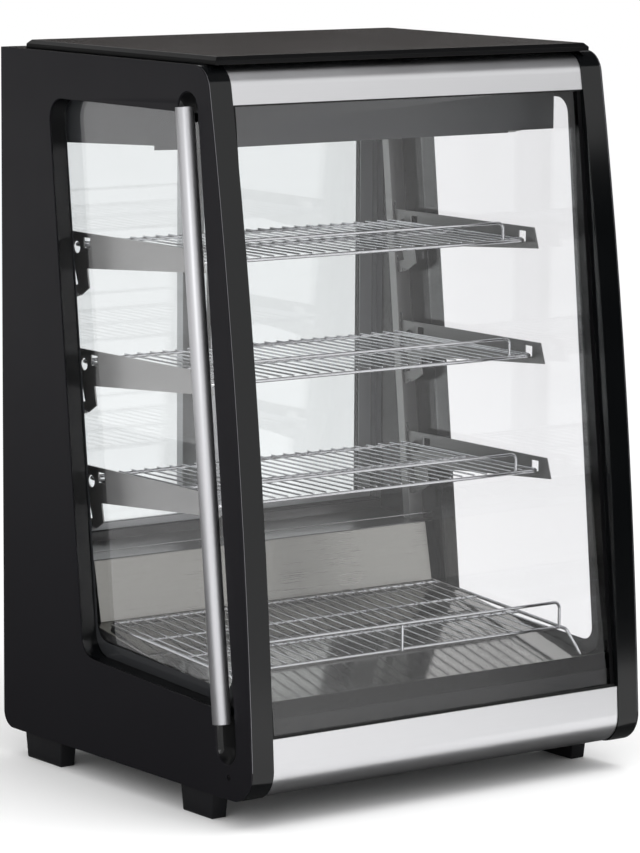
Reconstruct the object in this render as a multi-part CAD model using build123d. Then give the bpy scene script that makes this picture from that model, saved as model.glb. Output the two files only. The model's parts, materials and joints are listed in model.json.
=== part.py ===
from build123d import *
import math
import os

# Countertop display counter. Millimetres, +Z up, front glass towards -Y, rear doors towards +Y.
# The origin is on the standing surface, under the middle of the case.

# Case
CASE_WIDTH = 622.0
CASE_DEPTH = 568.0
PANEL_HEIGHT = 900.0
FOOT_HEIGHT = 36.0
TOP_SETBACK = 102.0
FRONT_BULGE = 15.3
TOP_FRONT_RADIUS = 31.5
BOTTOM_FRONT_RADIUS = 40.0
BOTTOM_REAR_RADIUS = 22.0

# Side panels
COVER_THICKNESS = 2.0
REVEAL_DEPTH = 23.5
SIDE_GLASS_THICKNESS = 6.0
LIP_WIDTH = 34.0
LIP_DEPTH = 24.0
FRAME_WALL = 3.5
FRAME_WEB = 3.0
FRAME_RIB = 2.5
FRAME_RIB_PITCH = 112.0
PLUG_DIAMETER = 7.2
PLUG_HEIGHT = 28.0
PLUG_FROM_FRONT = 47.0

# Side windows
WINDOW_TOP_MARGIN = 59.0
WINDOW_REAR_MARGIN = 112.7
WINDOW_REAR_LEAN = 0.1087
WINDOW_BOTTOM_HEIGHT = 126.5
WINDOW_BOTTOM_SLOPE = 0.055
WINDOW_AHEAD_OF_TUBE = 7.4
WINDOW_RADIUS = 27.0

# Corner tubes
TUBE_DIAMETER = 23.4
TUBE_WALL = 1.5
TUBE_TOP_SETBACK = 40.3
TUBE_TOP_MARGIN = 51.7
TUBE_BOTTOM_SETBACK = 59.5
TUBE_BOTTOM_HEIGHT = 94.5
TUBE_PROUD = 4.0
GROOVE_RADIUS = 26.0
GROOVE_CENTRE_PROUD = 14.0
GROOVE_END_REACH = 3.0
GROOVE_FOOT_REACH = 30.0
HOLDER_LENGTH = 26.0
HOLDER_POST_DIAMETER = 12.0
HOLDER_POST_INSET = 14.0
TUBE_SCREW_DIAMETER = 4.2
TUBE_SCREW_INSET = 8.0
TUBE_SCREW_SHANK = 2.4
TUBE_SCREW_LENGTH = 7.0
TUBE_SCREW_HEAD = 1.2
TUBE_SCREW_TURN = 0.35

# Lid
LID_THICKNESS = 10.5
LID_BEVEL = 5.0
LID_SHELL = 2.5
LID_SIDE_INSET = 16.0
LID_FRONT_OVERHANG = 2.5
LID_REAR_INSET = 36.0

# Ceiling box and lamp
CEILING_HEIGHT = 792.0
LAMP_STEP = 7.0
LAMP_STEP_DEPTH = 92.7
CEILING_FRONT_SETBACK = 58.3
CEILING_SHEET = 1.2
LAMP_SLOT_WIDTH = 36.0
LAMP_SLOT_MARGIN = 40.0
LAMP_COVER_THICKNESS = 2.0
LAMP_BOARD_THICKNESS = 1.6
LAMP_BOARD_WIDTH = 14.0
LAMP_CHIP = 3.5
LAMP_CHIP_PITCH = 32.0
LAMP_CHIP_THICKNESS = 0.8
LAMP_FLANGE = 4.0
LAMP_COVER_WALL = 3.0
LAMP_BOARD_LIFT = 1.2
LAMP_BOARD_INSET = 5.0
LAMP_FOOT_REACH = 20.0
LAMP_FOOT_WIDTH = 8.0

# Front trims and front glass
TRIM_INSET = 1.5
TRIM_THICKNESS = 2.2
TRIM_LEG = 1.8
TOP_TRIM_DROP = 48.6
TOP_TRIM_REACH = 20.0
BOTTOM_TRIM_RISE = 79.6
BOTTOM_TRIM_REACH = 49.0
FRONT_GLASS_THICKNESS = 6.0
FRONT_GLASS_SETBACK = 2.6
SEAL_THICKNESS = 0.9
SEAL_FRONT = 1.4
SEAL_SHOW = 2.2
TOP_POCKET = 9.0
BOTTOM_POCKET = 20.0
TOP_TRIM_FLANGE_LAP = 10.0

# Base, floor and air duct
BASE_SHEET = 2.0
BASE_RISE = 22.0
LEDGE_HEIGHT = 242.3
LEDGE_DEPTH = 118.3
SHEET = 1.2
DUCT_SIDE_GAP = 12.5
DUCT_HEIGHT = 76.0
DUCT_LEAN = 0.2
DUCT_RETURN = 14.0
DECK_SLOPE = 0.165
DECK_REAR_HEIGHT = 162.5
DECK_FRONT_GAP = 4.0
DECK_UPSTAND = 20.0
INSULATION_THICKNESS = 30.0
INSULATION_REAR_WALL = 18.0
RAIL_HEIGHT = 46.0
GLASS_BELOW_WINDOW = 30.0
LEDGE_FLANGE_DROP = 2.0

# Rear doors and their tracks
TRACK_DEPTH = 41.0
FIN_THICKNESS = 1.8
SILL_BASE_HEIGHT = 226.0
SILL_FLOOR_HEIGHT = 246.0
SILL_TOP_HEIGHT = 256.0
HEADER_BOTTOM_HEIGHT = 756.0
HEADER_WEB_HEIGHT = 783.0
TRACK_SHEET = 2.2
DOOR_THICKNESS = 14.0
DOOR_SIDE_STILE = 21.0
DOOR_MEETING_STILE = 34.5
DOOR_RAIL = 18.0
DOOR_OVERLAP_HALF = 34.5
DOOR_CLEARANCE = 0.5
DOOR_LIFT = 6.0
PANE_THICKNESS = 4.0
PANE_SPACE = 4.0
GLASS_SEAT = 5.0
SPACER_INSET = 1.0
SPACER_WIDTH = 4.0
JAMB_GROOVE = 6.0
JAMB_GROOVE_DEPTH = 2.0
PULL_HEIGHT = 68.0
PULL_WIDTH = 16.0
PULL_PLATE = 1.2
PULL_CUP_DEPTH = 10.5
PULL_CUP_WALL = 1.0
PULL_FLANGE = 2.0
PULL_FROM_EDGE = 0.5
PULL_CORNER = 7.0
PULL_CUP_CORNER = 5.0
PULL_CENTRE_HEIGHT = 569.0

# Uprights and brackets
UPRIGHT_WIDTH = 23.2
UPRIGHT_DEPTH = 14.0
UPRIGHT_SHEET = 1.5
UPRIGHT_LEAN = 0.109
UPRIGHT_FROM_LEDGE = 20.0
BRACKET_FROM_EDGE = 4.9
BRACKET_SHEET = 2.0
SLOT_WIDTH = 3.4
SLOT_HEIGHT = 22.0
SLOT_RISE = 10.0
TOP_SHELF_HEIGHT = 666.0
SHELF_PITCH = 151.0
BRACKET_LENGTH = 300.0
BRACKET_NOSE = 6.0
BRACKET_FRONT_DEPTH = 27.0
BRACKET_REAR_DEPTH = 46.0
BRACKET_LEG_WIDTH = 38.0
BRACKET_DEPTH = 85.7
BRACKET_HOLE = 16.0
BRACKET_HOLE_AHEAD = 17.0
BRACKET_HOLE_BELOW = 20.0
HOOK_LAP = 2.5
LANCE_PLAY = 0.8
NOTCH_FIRST = 9.0
LANCE_WIDTH = 15.0
LANCE_TOP = 6.0
LANCE_REACH = 9.0
LANCE_REAR = 35.0
LANCE_FRONT_INSET = 17.0
SHELF_WIRE_DROP = 17.5
NOTCH_WIDTH = 2.0
NOTCH_HEIGHT = 6.0
NOTCH_PITCH = 4.8

# Wire shelves
FRAME_WIRE = 4.5
CROSS_WIRE = 2.2
CROSS_PITCH = 20.0
GUARD_WIRE = 4.0
SHELF_SIDE_GAP = 1.15
SHELF_FRONT_INSET = 11.0
SHELF_CORNER = 12.0
GUARD_HEIGHT = 24.5
GUARD_INSET = 40.0
GUARD_CORNER = 9.0
GUARD_FOOT = 1.0
WIRE_END_INSET = 1.0
RACK_SIDE_GAP = 12.5
RACK_SLOPE = 0.0766
RACK_REAR_GAP = 17.0
RACK_FRONT_GAP = 78.0
RACK_LEG_REACH = 31.5
RACK_GUARD_HEIGHT = 35.0
RACK_GUARD_INSET = 6.0
RACK_BARS = 3
RACK_BEND = 11.0

# Feet
FOOT_WIDTH = 25.0
FOOT_SIDE_INSET = 8.0
FOOT_TAPER = 3.2
FRONT_FOOT_LENGTH = 70.0
FRONT_FOOT_SETBACK = 96.5
REAR_FOOT_LENGTH = 86.0
REAR_FOOT_INSET = 40.0

# Cooling unit
COMPRESSOR_DIAMETER = 118.0
COMPRESSOR_HEIGHT = 112.0
COMPRESSOR_DOME = 34.0
COMPRESSOR_X = 130.0
COMPRESSOR_Y_INSET = 108.0
COMPRESSOR_MOUNT_HEIGHT = 8.0
COMPRESSOR_MOUNT_DIAMETER = 14.0
COMPRESSOR_PLATE = 3.0
COMPRESSOR_SEAM = 2.0
COMPRESSOR_SEAM_HEIGHT = 5.0
TERMINAL_COVER = (24.0, 38.0, 44.0)
TERMINAL_HEIGHT = 42.0
CONDENSER_WIDTH = 150.0
CONDENSER_HEIGHT = 112.0
CONDENSER_DEPTH = 24.0
CONDENSER_X = -150.0
CONDENSER_REAR_GAP = 14.0
FIN_PITCH = 6.0
FIN_SHEET = 1.2
CORE_THICKNESS = 6.0
CONDENSER_ROWS = 5
EVAPORATOR_ROWS = 3
FAN_DIAMETER = 100.0
FAN_HOUSING_DEPTH = 25.0
FAN_BLADES = 7
FAN_TIP_GAP = 2.0
FAN_FRAME_WALL = 4.0
FAN_HUB_DIAMETER = 34.0
FAN_HUB_THICKNESS = 4.0
FAN_STRUT = (3.0, 5.0)
FAN_PIN_SHORTER = 9.0
FAN_WHEEL_SHORTER = 11.0
FAN_WHEEL_HUB = 32.0
FAN_WHEEL_SHIFT = 2.6
FAN_BLADE_SHEET = 1.8
# Each blade section: radius, chord, pitch in degrees.
FAN_BLADE_SECTIONS = ((11.0, 13.6, 48.0), (30.0, 16.7, 36.0), (50.0, 18.6, 27.0))
EVAPORATOR_WIDTH = 330.0
EVAPORATOR_HEIGHT = 52.0
EVAPORATOR_DEPTH = 44.0
EVAPORATOR_REAR_GAP = 4.0
BLOWER_DIAMETER = 46.0
BLOWER_LENGTH = 300.0
BLOWER_BLADES = 20
BLOWER_BLADE_WIDTH = 7.0
BLOWER_BLADE_SHEET = 0.8
BLOWER_BLADE_TURN = 35.0
BLOWER_DISC = 2.0
BLOWER_TO_EVAPORATOR = 5.0
BLOWER_END_GAP = 2.0
BLOWER_PLATE = 3.0
BLOWER_FLOOR = 1.5
BLOWER_MOTOR_DIAMETER = 36.0
BLOWER_MOTOR_LENGTH = 37.0
SHAFT_LEFT_END = 5.0
SHAFT_RIGHT_END = 10.0
SHAFT_DIAMETER = 6.0
SHAFT_CLEARANCE = 0.08
PIPE_DIAMETER = 6.0
PIPE_BEND = 12.0
PIPE_HEIGHT = 34.0
PIPE_START_INSET = 24.0
PIPE_START_GAP = 1.5
PIPE_FROM_CONDENSER = 22.0
PIPE_AHEAD = 10.0
PIPE_RISE = 50.0

# Rear cover and controls
REAR_COVER_INSET = 8.0
REAR_COVER_SHEET = 1.5
LOUVRE_WIDTH = 56.0
LOUVRE_HEIGHT = 4.0
LOUVRE_PITCH = 11.0
LOUVRE_ROWS = 9
LOUVRE_COLUMNS = 3
LOUVRE_COLUMN_GAP = 10.0
LOUVRE_FIRST = 34.0
LOUVRE_PROUD = 3.2
LOUVRE_LIP = 1.0
LOUVRE_SHEET = 1.6
CONTROLLER_WIDTH = 71.0
CONTROLLER_HEIGHT = 29.0
CONTROLLER_BEZEL = 3.5
CONTROLLER_DEPTH = 30.0
CONTROLLER_X = -60.0
CONTROL_HEIGHT = 193.0
BEZEL_THICKNESS = 2.0
BEZEL_CORNER = 2.5
DISPLAY_MARGIN = 3.0
DISPLAY_EDGE = 5.0
DISPLAY_RIGHT = 1.0
DISPLAY_DEPTH = 0.8
BUTTON_WIDTH = 8.0
BUTTON_HEIGHT = 5.0
BUTTON_PROUD = 1.0
BUTTON_STEM = 5.0
BUTTON_CORNER = 1.2
BUTTON_SPACE = 1.2
BUTTON_FIRST = 8.5
BUTTON_PITCH = 10.5
ROCKER_WIDTH = 13.0
ROCKER_LENGTH = 19.0
ROCKER_PROUD = 3.4
ROCKER_HOLLOW = 1.4
ROCKER_SIDE = 1.5
ROCKER_TAIL = 5.0
ROCKER_TAIL_HALF = 3.5
ROCKER_PIVOT_DEPTH = 4.0
ROCKER_PIN = 3.0
ROCKER_END_PLAY = 1.5
ROCKER_FRAME = 2.5
SWITCH_FLANGE = 2.0
SWITCH_DEPTH = 18.0
SWITCH_CORNER = 1.5
POWER_SWITCH_X = 40.0
LIGHT_SWITCH_X = 75.0
GLAND_DIAMETER = 20.0
GLAND_BORE = 8.0
GLAND_X = -264.0
GLAND_HEIGHT = 42.0
GLAND_FLANGE = 5.0
GLAND_NECK_STEP = 5.0
GLAND_INSIDE = 8.0

# Fasteners and fits
SCREW_SUNK = 0.4
SCREW_SHANK = 4.0
SCREW_LENGTH = 10.0
GAP = 0.3
WELD_GAP = 0.05
CLOSE_FIT = 0.1
CUT_REACH = 10.0

# Places worked out from the sizes above
X_OUT = CASE_WIDTH / 2
X_COVER = X_OUT - COVER_THICKNESS
X_GLASS = X_OUT - REVEAL_DEPTH
X_WALL = X_GLASS - SIDE_GLASS_THICKNESS
X_LIP = X_OUT - LIP_WIDTH
Y_REAR = CASE_DEPTH / 2
Y_FRONT = -CASE_DEPTH / 2
Y_TOP_FRONT = Y_FRONT + TOP_SETBACK
Z_BASE = FOOT_HEIGHT
Z_TOP = FOOT_HEIGHT + PANEL_HEIGHT
Y_TRACK = Y_REAR - TRACK_DEPTH
Z_LEDGE = Z_BASE + LEDGE_HEIGHT
Y_LEDGE_FRONT = Y_TRACK - LEDGE_DEPTH
Z_CEILING = Z_BASE + CEILING_HEIGHT
Y_CEILING_FRONT = Y_TOP_FRONT + CEILING_FRONT_SETBACK
Z_DECK_REAR = Z_BASE + DECK_REAR_HEIGHT
Z_SILL_FLOOR = Z_BASE + SILL_FLOOR_HEIGHT
Z_SILL_TOP = Z_BASE + SILL_TOP_HEIGHT
Z_HEADER_BOTTOM = Z_BASE + HEADER_BOTTOM_HEIGHT
Z_HEADER_WEB = Z_BASE + HEADER_WEB_HEIGHT
Y_COVER_FACE = Y_REAR - REAR_COVER_INSET
Z_CONTROL = Z_BASE + CONTROL_HEIGHT
X_BRACKET = X_WALL - UPRIGHT_WIDTH + BRACKET_FROM_EDGE
Y_DECK_REAR = Y_LEDGE_FRONT - DUCT_LEAN * DUCT_HEIGHT
Y_UPRIGHT = Y_LEDGE_FRONT + UPRIGHT_FROM_LEDGE
INNER_LEG = FRONT_GLASS_THICKNESS + SEAL_THICKNESS + CLOSE_FIT

TUBE_TOP = Vector(0, Y_TOP_FRONT + TUBE_TOP_SETBACK, Z_TOP - TUBE_TOP_MARGIN)
TUBE_BOTTOM = Vector(0, Y_FRONT + TUBE_BOTTOM_SETBACK, Z_BASE + TUBE_BOTTOM_HEIGHT)


def chord_y(z):
    """Depth of the straight line from the panel's lower front corner to its upper one."""
    return Y_FRONT + TOP_SETBACK * (z - Z_BASE) / PANEL_HEIGHT


def glass_y(z, behind=0.0):
    """Depth of a plane parallel to the front glass, some way behind its outer face."""
    return chord_y(z) + FRONT_GLASS_SETBACK + behind


def tube_y(z):
    """Depth of the corner tube's axis at a height."""
    share = (z - TUBE_BOTTOM.Z) / (TUBE_TOP.Z - TUBE_BOTTOM.Z)
    return TUBE_BOTTOM.Y + share * (TUBE_TOP.Y - TUBE_BOTTOM.Y)


def deck_z(y):
    """Height of the floor deck's top face at a depth."""
    return Z_DECK_REAR - DECK_SLOPE * (Y_DECK_REAR - y)


def upright_y(z):
    """Depth of the upright's front face at a height."""
    return Y_UPRIGHT + UPRIGHT_LEAN * (z - Z_LEDGE)


def side_face(points):
    """Flat face in the side view from (depth, height) points."""
    return make_face(Polyline(*points, close=True))


def across(face, x_start, x_end):
    """Solid made from a side-view face between two X positions."""
    return extrude(Plane.YZ.offset(x_start) * face, amount=x_end - x_start, dir=(1, 0, 0))


def block(x0, x1, y0, y1, z0, z1):
    """Straight block between corners."""
    return Pos((x0 + x1) / 2, (y0 + y1) / 2, (z0 + z1) / 2) * Box(
        abs(x1 - x0), abs(y1 - y0), abs(z1 - z0)
    )


def rod(start, end, diameter):
    """Round bar between two points."""
    start = Vector(*start) if isinstance(start, tuple) else start
    end = Vector(*end) if isinstance(end, tuple) else end
    return Solid.make_cylinder(diameter / 2, (end - start).length, Plane(origin=start, z_dir=end - start))


def bent_wire(points, bend, diameter, close=False):
    """Wire bent along a route, with one bend radius."""
    path = FilletPolyline(*points, radius=bend, close=close)
    start = path ^ 0
    return sweep(Plane(start) * Circle(diameter / 2), path=path)


def mirrored(part):
    """The same piece on the left side."""
    return mirror(part, about=Plane.YZ)


def panel_outline(inset=0.0):
    """Side panel's outline in the side view: straight rear and top, bowed front, rounded corners."""
    rear_bottom = (Y_REAR, Z_BASE)
    rear_top = (Y_REAR, Z_TOP)
    front_top = (Y_TOP_FRONT, Z_TOP)
    front_bottom = (Y_FRONT, Z_BASE)
    z_middle = (Z_BASE + Z_TOP) / 2
    bow = ThreePointArc(front_top, (chord_y(z_middle) - FRONT_BULGE, z_middle), front_bottom)
    edges = [Line(front_bottom, rear_bottom), Line(rear_bottom, rear_top), Line(rear_top, front_top), bow]
    face = make_face(edges)
    corners = [(front_top, TOP_FRONT_RADIUS), (front_bottom, BOTTOM_FRONT_RADIUS), (rear_bottom, BOTTOM_REAR_RADIUS)]
    for corner, radius in corners:
        vertex = face.vertices().sort_by_distance((corner[0], corner[1], 0))[0]
        face = fillet(vertex, radius)
    if inset:
        face = offset(face, amount=-inset, kind=Kind.INTERSECTION)
    return face


def window_outline(grow=0.0):
    """Side window: leaning front and rear edges, rounded corners."""
    z_top = Z_TOP - WINDOW_TOP_MARGIN
    z_bottom_rear = Z_BASE + WINDOW_BOTTOM_HEIGHT
    y_rear_top = Y_REAR - WINDOW_REAR_MARGIN
    y_rear_bottom = y_rear_top - WINDOW_REAR_LEAN * (z_top - z_bottom_rear)
    y_front_guess = tube_y(z_bottom_rear) - WINDOW_AHEAD_OF_TUBE
    z_bottom_front = z_bottom_rear - WINDOW_BOTTOM_SLOPE * (y_rear_bottom - y_front_guess)
    points = [
        (y_rear_bottom, z_bottom_rear),
        (y_rear_top, z_top),
        (tube_y(z_top) - WINDOW_AHEAD_OF_TUBE, z_top),
        (tube_y(z_bottom_front) - WINDOW_AHEAD_OF_TUBE, z_bottom_front),
    ]
    face = side_face(points)
    face = fillet(face.vertices(), WINDOW_RADIUS)
    if grow:
        face = offset(face, amount=grow)
    return face


def groove_ends():
    """End centres of the tube's groove, on the tube's line at the panel's outer face."""
    line = (TUBE_TOP - TUBE_BOTTOM).normalized()
    return TUBE_BOTTOM - line * GROOVE_FOOT_REACH, TUBE_TOP - line * GROOVE_END_REACH


def groove_outline(grow=0.0):
    """The groove's mouth in the side view."""
    low, high = groove_ends()
    half = math.sqrt(GROOVE_RADIUS**2 - GROOVE_CENTRE_PROUD**2) + grow
    middle = (low + high) / 2
    angle = math.degrees(math.atan2(high.Z - low.Z, high.Y - low.Y))
    return Pos(middle.Y, middle.Z) * Rot(0, 0, angle) * SlotCenterToCenter((high - low).length, 2 * half)


def groove_solid():
    """Round-bottomed groove with ball ends, as the tool that cuts it."""
    shift = Vector(X_OUT + GROOVE_CENTRE_PROUD, 0, 0)
    low, high = groove_ends()
    bar = rod(low + shift, high + shift, 2 * GROOVE_RADIUS)
    return bar + Pos(low + shift) * Sphere(GROOVE_RADIUS) + Pos(high + shift) * Sphere(GROOVE_RADIUS)


def plug_place():
    """Depth and height of the screw hole low on the panel."""
    z = Z_BASE + PLUG_HEIGHT
    return chord_y(z) + PLUG_FROM_FRONT, z


def side_cover():
    """Thin outer plate of the right side panel."""
    plate = across(panel_outline(), X_COVER, X_OUT)
    plate -= across(window_outline(), X_COVER - 1, X_OUT + 1)
    plate -= groove_solid()
    y, z = plug_place()
    return plate - rod((X_COVER - 1, y, z), (X_OUT + 1, y, z), PLUG_DIAMETER)


def side_frame():
    """Moulded body of the right side panel, ribbed behind its cover, with the front lip."""
    body = across(panel_outline(), X_GLASS, X_COVER)
    lip_zone = leaning_slab(Z_BASE - CUT_REACH, Z_TOP + CUT_REACH, -LIP_WIDTH, LIP_DEPTH)
    body += across(panel_outline() & lip_zone, X_LIP, X_GLASS)
    pocket = panel_outline(FRAME_WALL) - window_outline(FRAME_WALL) - groove_outline(FRAME_WALL)
    z = Z_BASE + FRAME_RIB_PITCH
    while z < Z_TOP - FRAME_RIB_PITCH / 2:
        pocket -= Pos(0, z) * Rectangle(2 * CASE_DEPTH, FRAME_RIB)
        z += FRAME_RIB_PITCH
    y = Y_FRONT + FRAME_RIB_PITCH
    while y < Y_REAR - FRAME_RIB_PITCH / 2:
        pocket -= Pos(y, Z_BASE + PANEL_HEIGHT / 2) * Rectangle(FRAME_RIB, 2 * PANEL_HEIGHT)
        y += FRAME_RIB_PITCH
    body -= across(pocket, X_GLASS + FRAME_WEB, X_COVER + 1)
    y, z = plug_place()
    body += rod((X_GLASS + FRAME_WEB, y, z), (X_COVER, y, z), PLUG_DIAMETER + 2 * FRAME_RIB)
    body -= rod((X_COVER - SCREW_LENGTH, y, z), (X_COVER + 1, y, z), SCREW_SHANK)
    body -= across(window_outline(), X_LIP - 1, X_COVER + 1)
    return body - groove_solid()


def side_glass_bottom():
    """Lower edge of the side glass, below the window."""
    return Z_BASE + WINDOW_BOTTOM_HEIGHT - GLASS_BELOW_WINDOW


def side_glass():
    """Full-size glass on the inner side of the right frame."""
    z_high = Z_TOP - RAIL_HEIGHT
    z_low = side_glass_bottom()
    y_back = Y_TRACK - GAP
    points = [
        (glass_y(z_low, LIP_DEPTH + GAP), z_low),
        (y_back, z_low),
        (y_back, z_high),
        (glass_y(z_high, LIP_DEPTH + GAP), z_high),
    ]
    return across(side_face(points), X_WALL, X_GLASS)


def fixing_rail_top():
    """Strip over the side glass that joins the ceiling box to the frame."""
    z_low = Z_TOP - RAIL_HEIGHT + GAP
    points = [
        (glass_y(z_low, LIP_DEPTH + GAP), z_low),
        (Y_TRACK - GAP, z_low),
        (Y_TRACK - GAP, Z_TOP - GAP),
        (glass_y(Z_TOP, LIP_DEPTH + GAP), Z_TOP - GAP),
    ]
    return across(side_face(points), X_WALL, X_GLASS)


def fixing_rail_bottom():
    """Plate under the side glass that joins the base to the frame."""
    z_low = Z_BASE + GAP
    z_glass = side_glass_bottom() - GAP
    y_back = Y_COVER_FACE - REAR_COVER_SHEET - GAP
    points = [
        (glass_y(z_low, LIP_DEPTH + GAP), z_low),
        (y_back, z_low),
        (y_back, Z_BASE + SILL_BASE_HEIGHT - GAP),
        (Y_TRACK, Z_BASE + SILL_BASE_HEIGHT - GAP),
        (Y_TRACK, z_glass),
        (glass_y(z_glass, LIP_DEPTH + GAP), z_glass),
    ]
    plate = across(side_face(points), X_WALL, X_GLASS)
    return plate & across(panel_outline(GAP), X_WALL, X_GLASS)


def corner_tube():
    """Hollow aluminium tube in the right panel's groove."""
    shift = Vector(X_OUT + TUBE_PROUD, 0, 0)
    low, high = TUBE_BOTTOM + shift, TUBE_TOP + shift
    line = (high - low).normalized()
    tube = rod(low, high, TUBE_DIAMETER) - rod(low - line, high + line, TUBE_DIAMETER - 2 * TUBE_WALL)
    for centre in holder_places():
        tube -= rod(centre - Vector(TUBE_DIAMETER, 0, 0), centre, HOLDER_POST_DIAMETER + 2 * GAP)
    for hole in tube_screw_holes(TUBE_SCREW_SHANK + 2 * GAP):
        tube -= hole
    return tube


def holder_places():
    """Centres of the two holders on the right tube's axis."""
    shift = Vector(X_OUT + TUBE_PROUD, 0, 0)
    line = (TUBE_TOP - TUBE_BOTTOM).normalized()
    return [TUBE_BOTTOM + shift + line * HOLDER_POST_INSET, TUBE_TOP + shift - line * HOLDER_POST_INSET]


def tube_screw_seats():
    """Seats of the right tube's two screws: place on the tube's surface and outward direction."""
    line = (TUBE_TOP - TUBE_BOTTOM).normalized()
    rear = Vector(TUBE_SCREW_TURN, math.sqrt(1 - TUBE_SCREW_TURN**2), 0)
    outward = (rear - line * rear.dot(line)).normalized()
    seats = []
    for centre in (TUBE_TOP - line * TUBE_SCREW_INSET, TUBE_BOTTOM + line * TUBE_SCREW_INSET):
        axis_point = centre + Vector(X_OUT + TUBE_PROUD, 0, 0)
        seats.append((axis_point + outward * (TUBE_DIAMETER / 2), outward))
    return seats


def tube_screw_holes(diameter):
    """Holes for the right tube's screws."""
    return [
        rod(place - outward * TUBE_SCREW_LENGTH, place + outward * CUT_REACH, diameter)
        for place, outward in tube_screw_seats()
    ]


def tube_holders():
    """Plugs inside the right tube's ends, each with a post that stands on the groove's bottom."""
    line = (TUBE_TOP - TUBE_BOTTOM).normalized()
    bore = TUBE_DIAMETER - 2 * TUBE_WALL - 2 * GAP
    x_bottom = X_OUT + GROOVE_CENTRE_PROUD - GROOVE_RADIUS
    holders = []
    for centre in holder_places():
        plug = rod(centre - line * HOLDER_LENGTH / 2, centre + line * HOLDER_LENGTH / 2, bore)
        post_end = Vector(x_bottom - FRAME_WEB, centre.Y, centre.Z)
        post = rod(centre, post_end, HOLDER_POST_DIAMETER) - groove_wall()
        holder = plug + post
        for hole in tube_screw_holes(TUBE_SCREW_SHANK + GAP):
            holder -= hole
        holders.append(holder)
    return holders


def groove_wall():
    """Everything of the right panel that lies outside the groove, to trim a post to its bottom."""
    slab = block(X_LIP, X_OUT, Y_FRONT, Y_REAR, Z_BASE, Z_TOP)
    return slab - groove_solid()


def lid_panel():
    """Bevelled lid, hollow below."""
    y0 = Y_TOP_FRONT + LID_FRONT_OVERHANG
    y1 = Y_REAR - LID_REAR_INSET
    x = X_OUT - LID_SIDE_INSET
    z0 = Z_TOP
    lid = block(-x, x, y0, y1, z0, z0 + LID_THICKNESS)
    lid = chamfer(lid.faces().sort_by(Axis.Z)[-1].edges(), LID_BEVEL)
    hollow = block(
        -x + LID_BEVEL, x - LID_BEVEL, y0 + LID_BEVEL, y1 - LID_BEVEL, z0 - 1, z0 + LID_THICKNESS - LID_SHELL
    )
    return lid - hollow


def ceiling_box():
    """Open-topped sheet tray under the lid, its front part a step lower for the lamp."""
    x = X_WALL - GAP
    y0 = Y_CEILING_FRONT
    y1 = Y_TRACK - GAP
    y_step = y0 + LAMP_STEP_DEPTH
    z0 = Z_CEILING - LAMP_STEP
    z1 = Z_TOP - GAP
    t = CEILING_SHEET
    outer = side_face([(y0, z0), (y_step, z0), (y_step, Z_CEILING), (y1, Z_CEILING), (y1, z1), (y0, z1)])
    inner = side_face([
        (y0 + t, z0 + t),
        (y_step - t, z0 + t),
        (y_step - t, Z_CEILING + t),
        (y1 - t, Z_CEILING + t),
        (y1 - t, z1 + 1),
        (y0 + t, z1 + 1),
    ])
    box = across(outer, -x, x) - across(inner, -x + t, x - t)
    return box - lamp_opening(z0 - 1, z0 + t + 1)


def lamp_opening(z_low, z_high, shrink=0.0):
    """The long slot for the lamp in the ceiling's lower front part."""
    x = X_WALL - LAMP_SLOT_MARGIN - shrink
    y_middle = Y_CEILING_FRONT + LAMP_STEP_DEPTH / 2
    half = LAMP_SLOT_WIDTH / 2 - shrink
    return block(-x, x, y_middle - half, y_middle + half, z_low, z_high)


def lamp_cover():
    """Frosted strip that clips into the lamp slot, with a flange inside."""
    z0 = Z_CEILING - LAMP_STEP
    z_flange = z0 + CEILING_SHEET
    strip = lamp_opening(z0, z_flange, GAP)
    flange = lamp_opening(z_flange, z_flange + LAMP_COVER_THICKNESS, -LAMP_FLANGE)
    hollow = lamp_opening(z0 + LAMP_COVER_THICKNESS, z_flange + LAMP_COVER_THICKNESS + 1, LAMP_COVER_WALL)
    return strip + flange - hollow


def lamp_strip():
    """Lamp board with its row of chips, over the cover."""
    y = Y_CEILING_FRONT + LAMP_STEP_DEPTH / 2
    half_length = X_WALL - LAMP_SLOT_MARGIN - LAMP_BOARD_INSET
    z0 = Z_CEILING - LAMP_STEP + CEILING_SHEET + LAMP_COVER_THICKNESS + GAP
    z_board = z0 + LAMP_BOARD_LIFT
    z_back = z_board + LAMP_BOARD_THICKNESS
    foot = LAMP_FOOT_WIDTH / 2
    half = LAMP_BOARD_WIDTH / 2
    board = block(-half_length, half_length, y - half, y + half, z_board, z_back)
    for side in (-1, 1):
        y_foot = y + side * LAMP_FOOT_REACH
        for x in (-half_length + LAMP_FOOT_REACH, half_length - LAMP_FOOT_REACH):
            board += block(x - foot, x + foot, y_foot - foot, y_foot + foot, z0, z_back)
            board += block(x - foot, x + foot, y, y_foot, z_board, z_back)
    count = int(2 * (half_length - LAMP_CHIP_PITCH) / LAMP_CHIP_PITCH)
    for index in range(count + 1):
        x = (index - count / 2) * LAMP_CHIP_PITCH
        chip = LAMP_CHIP / 2
        board += block(x - chip, x + chip, y - chip, y + chip, z_board - LAMP_CHIP_THICKNESS, z_board)
    return board


def trim_band():
    """The trims' bent sheet in the side view: it follows the panel's front edge, slightly inside it."""
    return panel_outline(TRIM_INSET) - panel_outline(TRIM_INSET + TRIM_THICKNESS)


def window_box(y0, y1, z0, z1):
    """Rectangle in the side view between corners."""
    return Pos((y0 + y1) / 2, (z0 + z1) / 2) * Rectangle(y1 - y0, z1 - z0)


def trim_leg(z_low, z_high):
    """Inner leg of a trim, behind the front glass and its seal."""
    return leaning_slab(z_low, z_high, INNER_LEG, INNER_LEG + TRIM_LEG)


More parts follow.
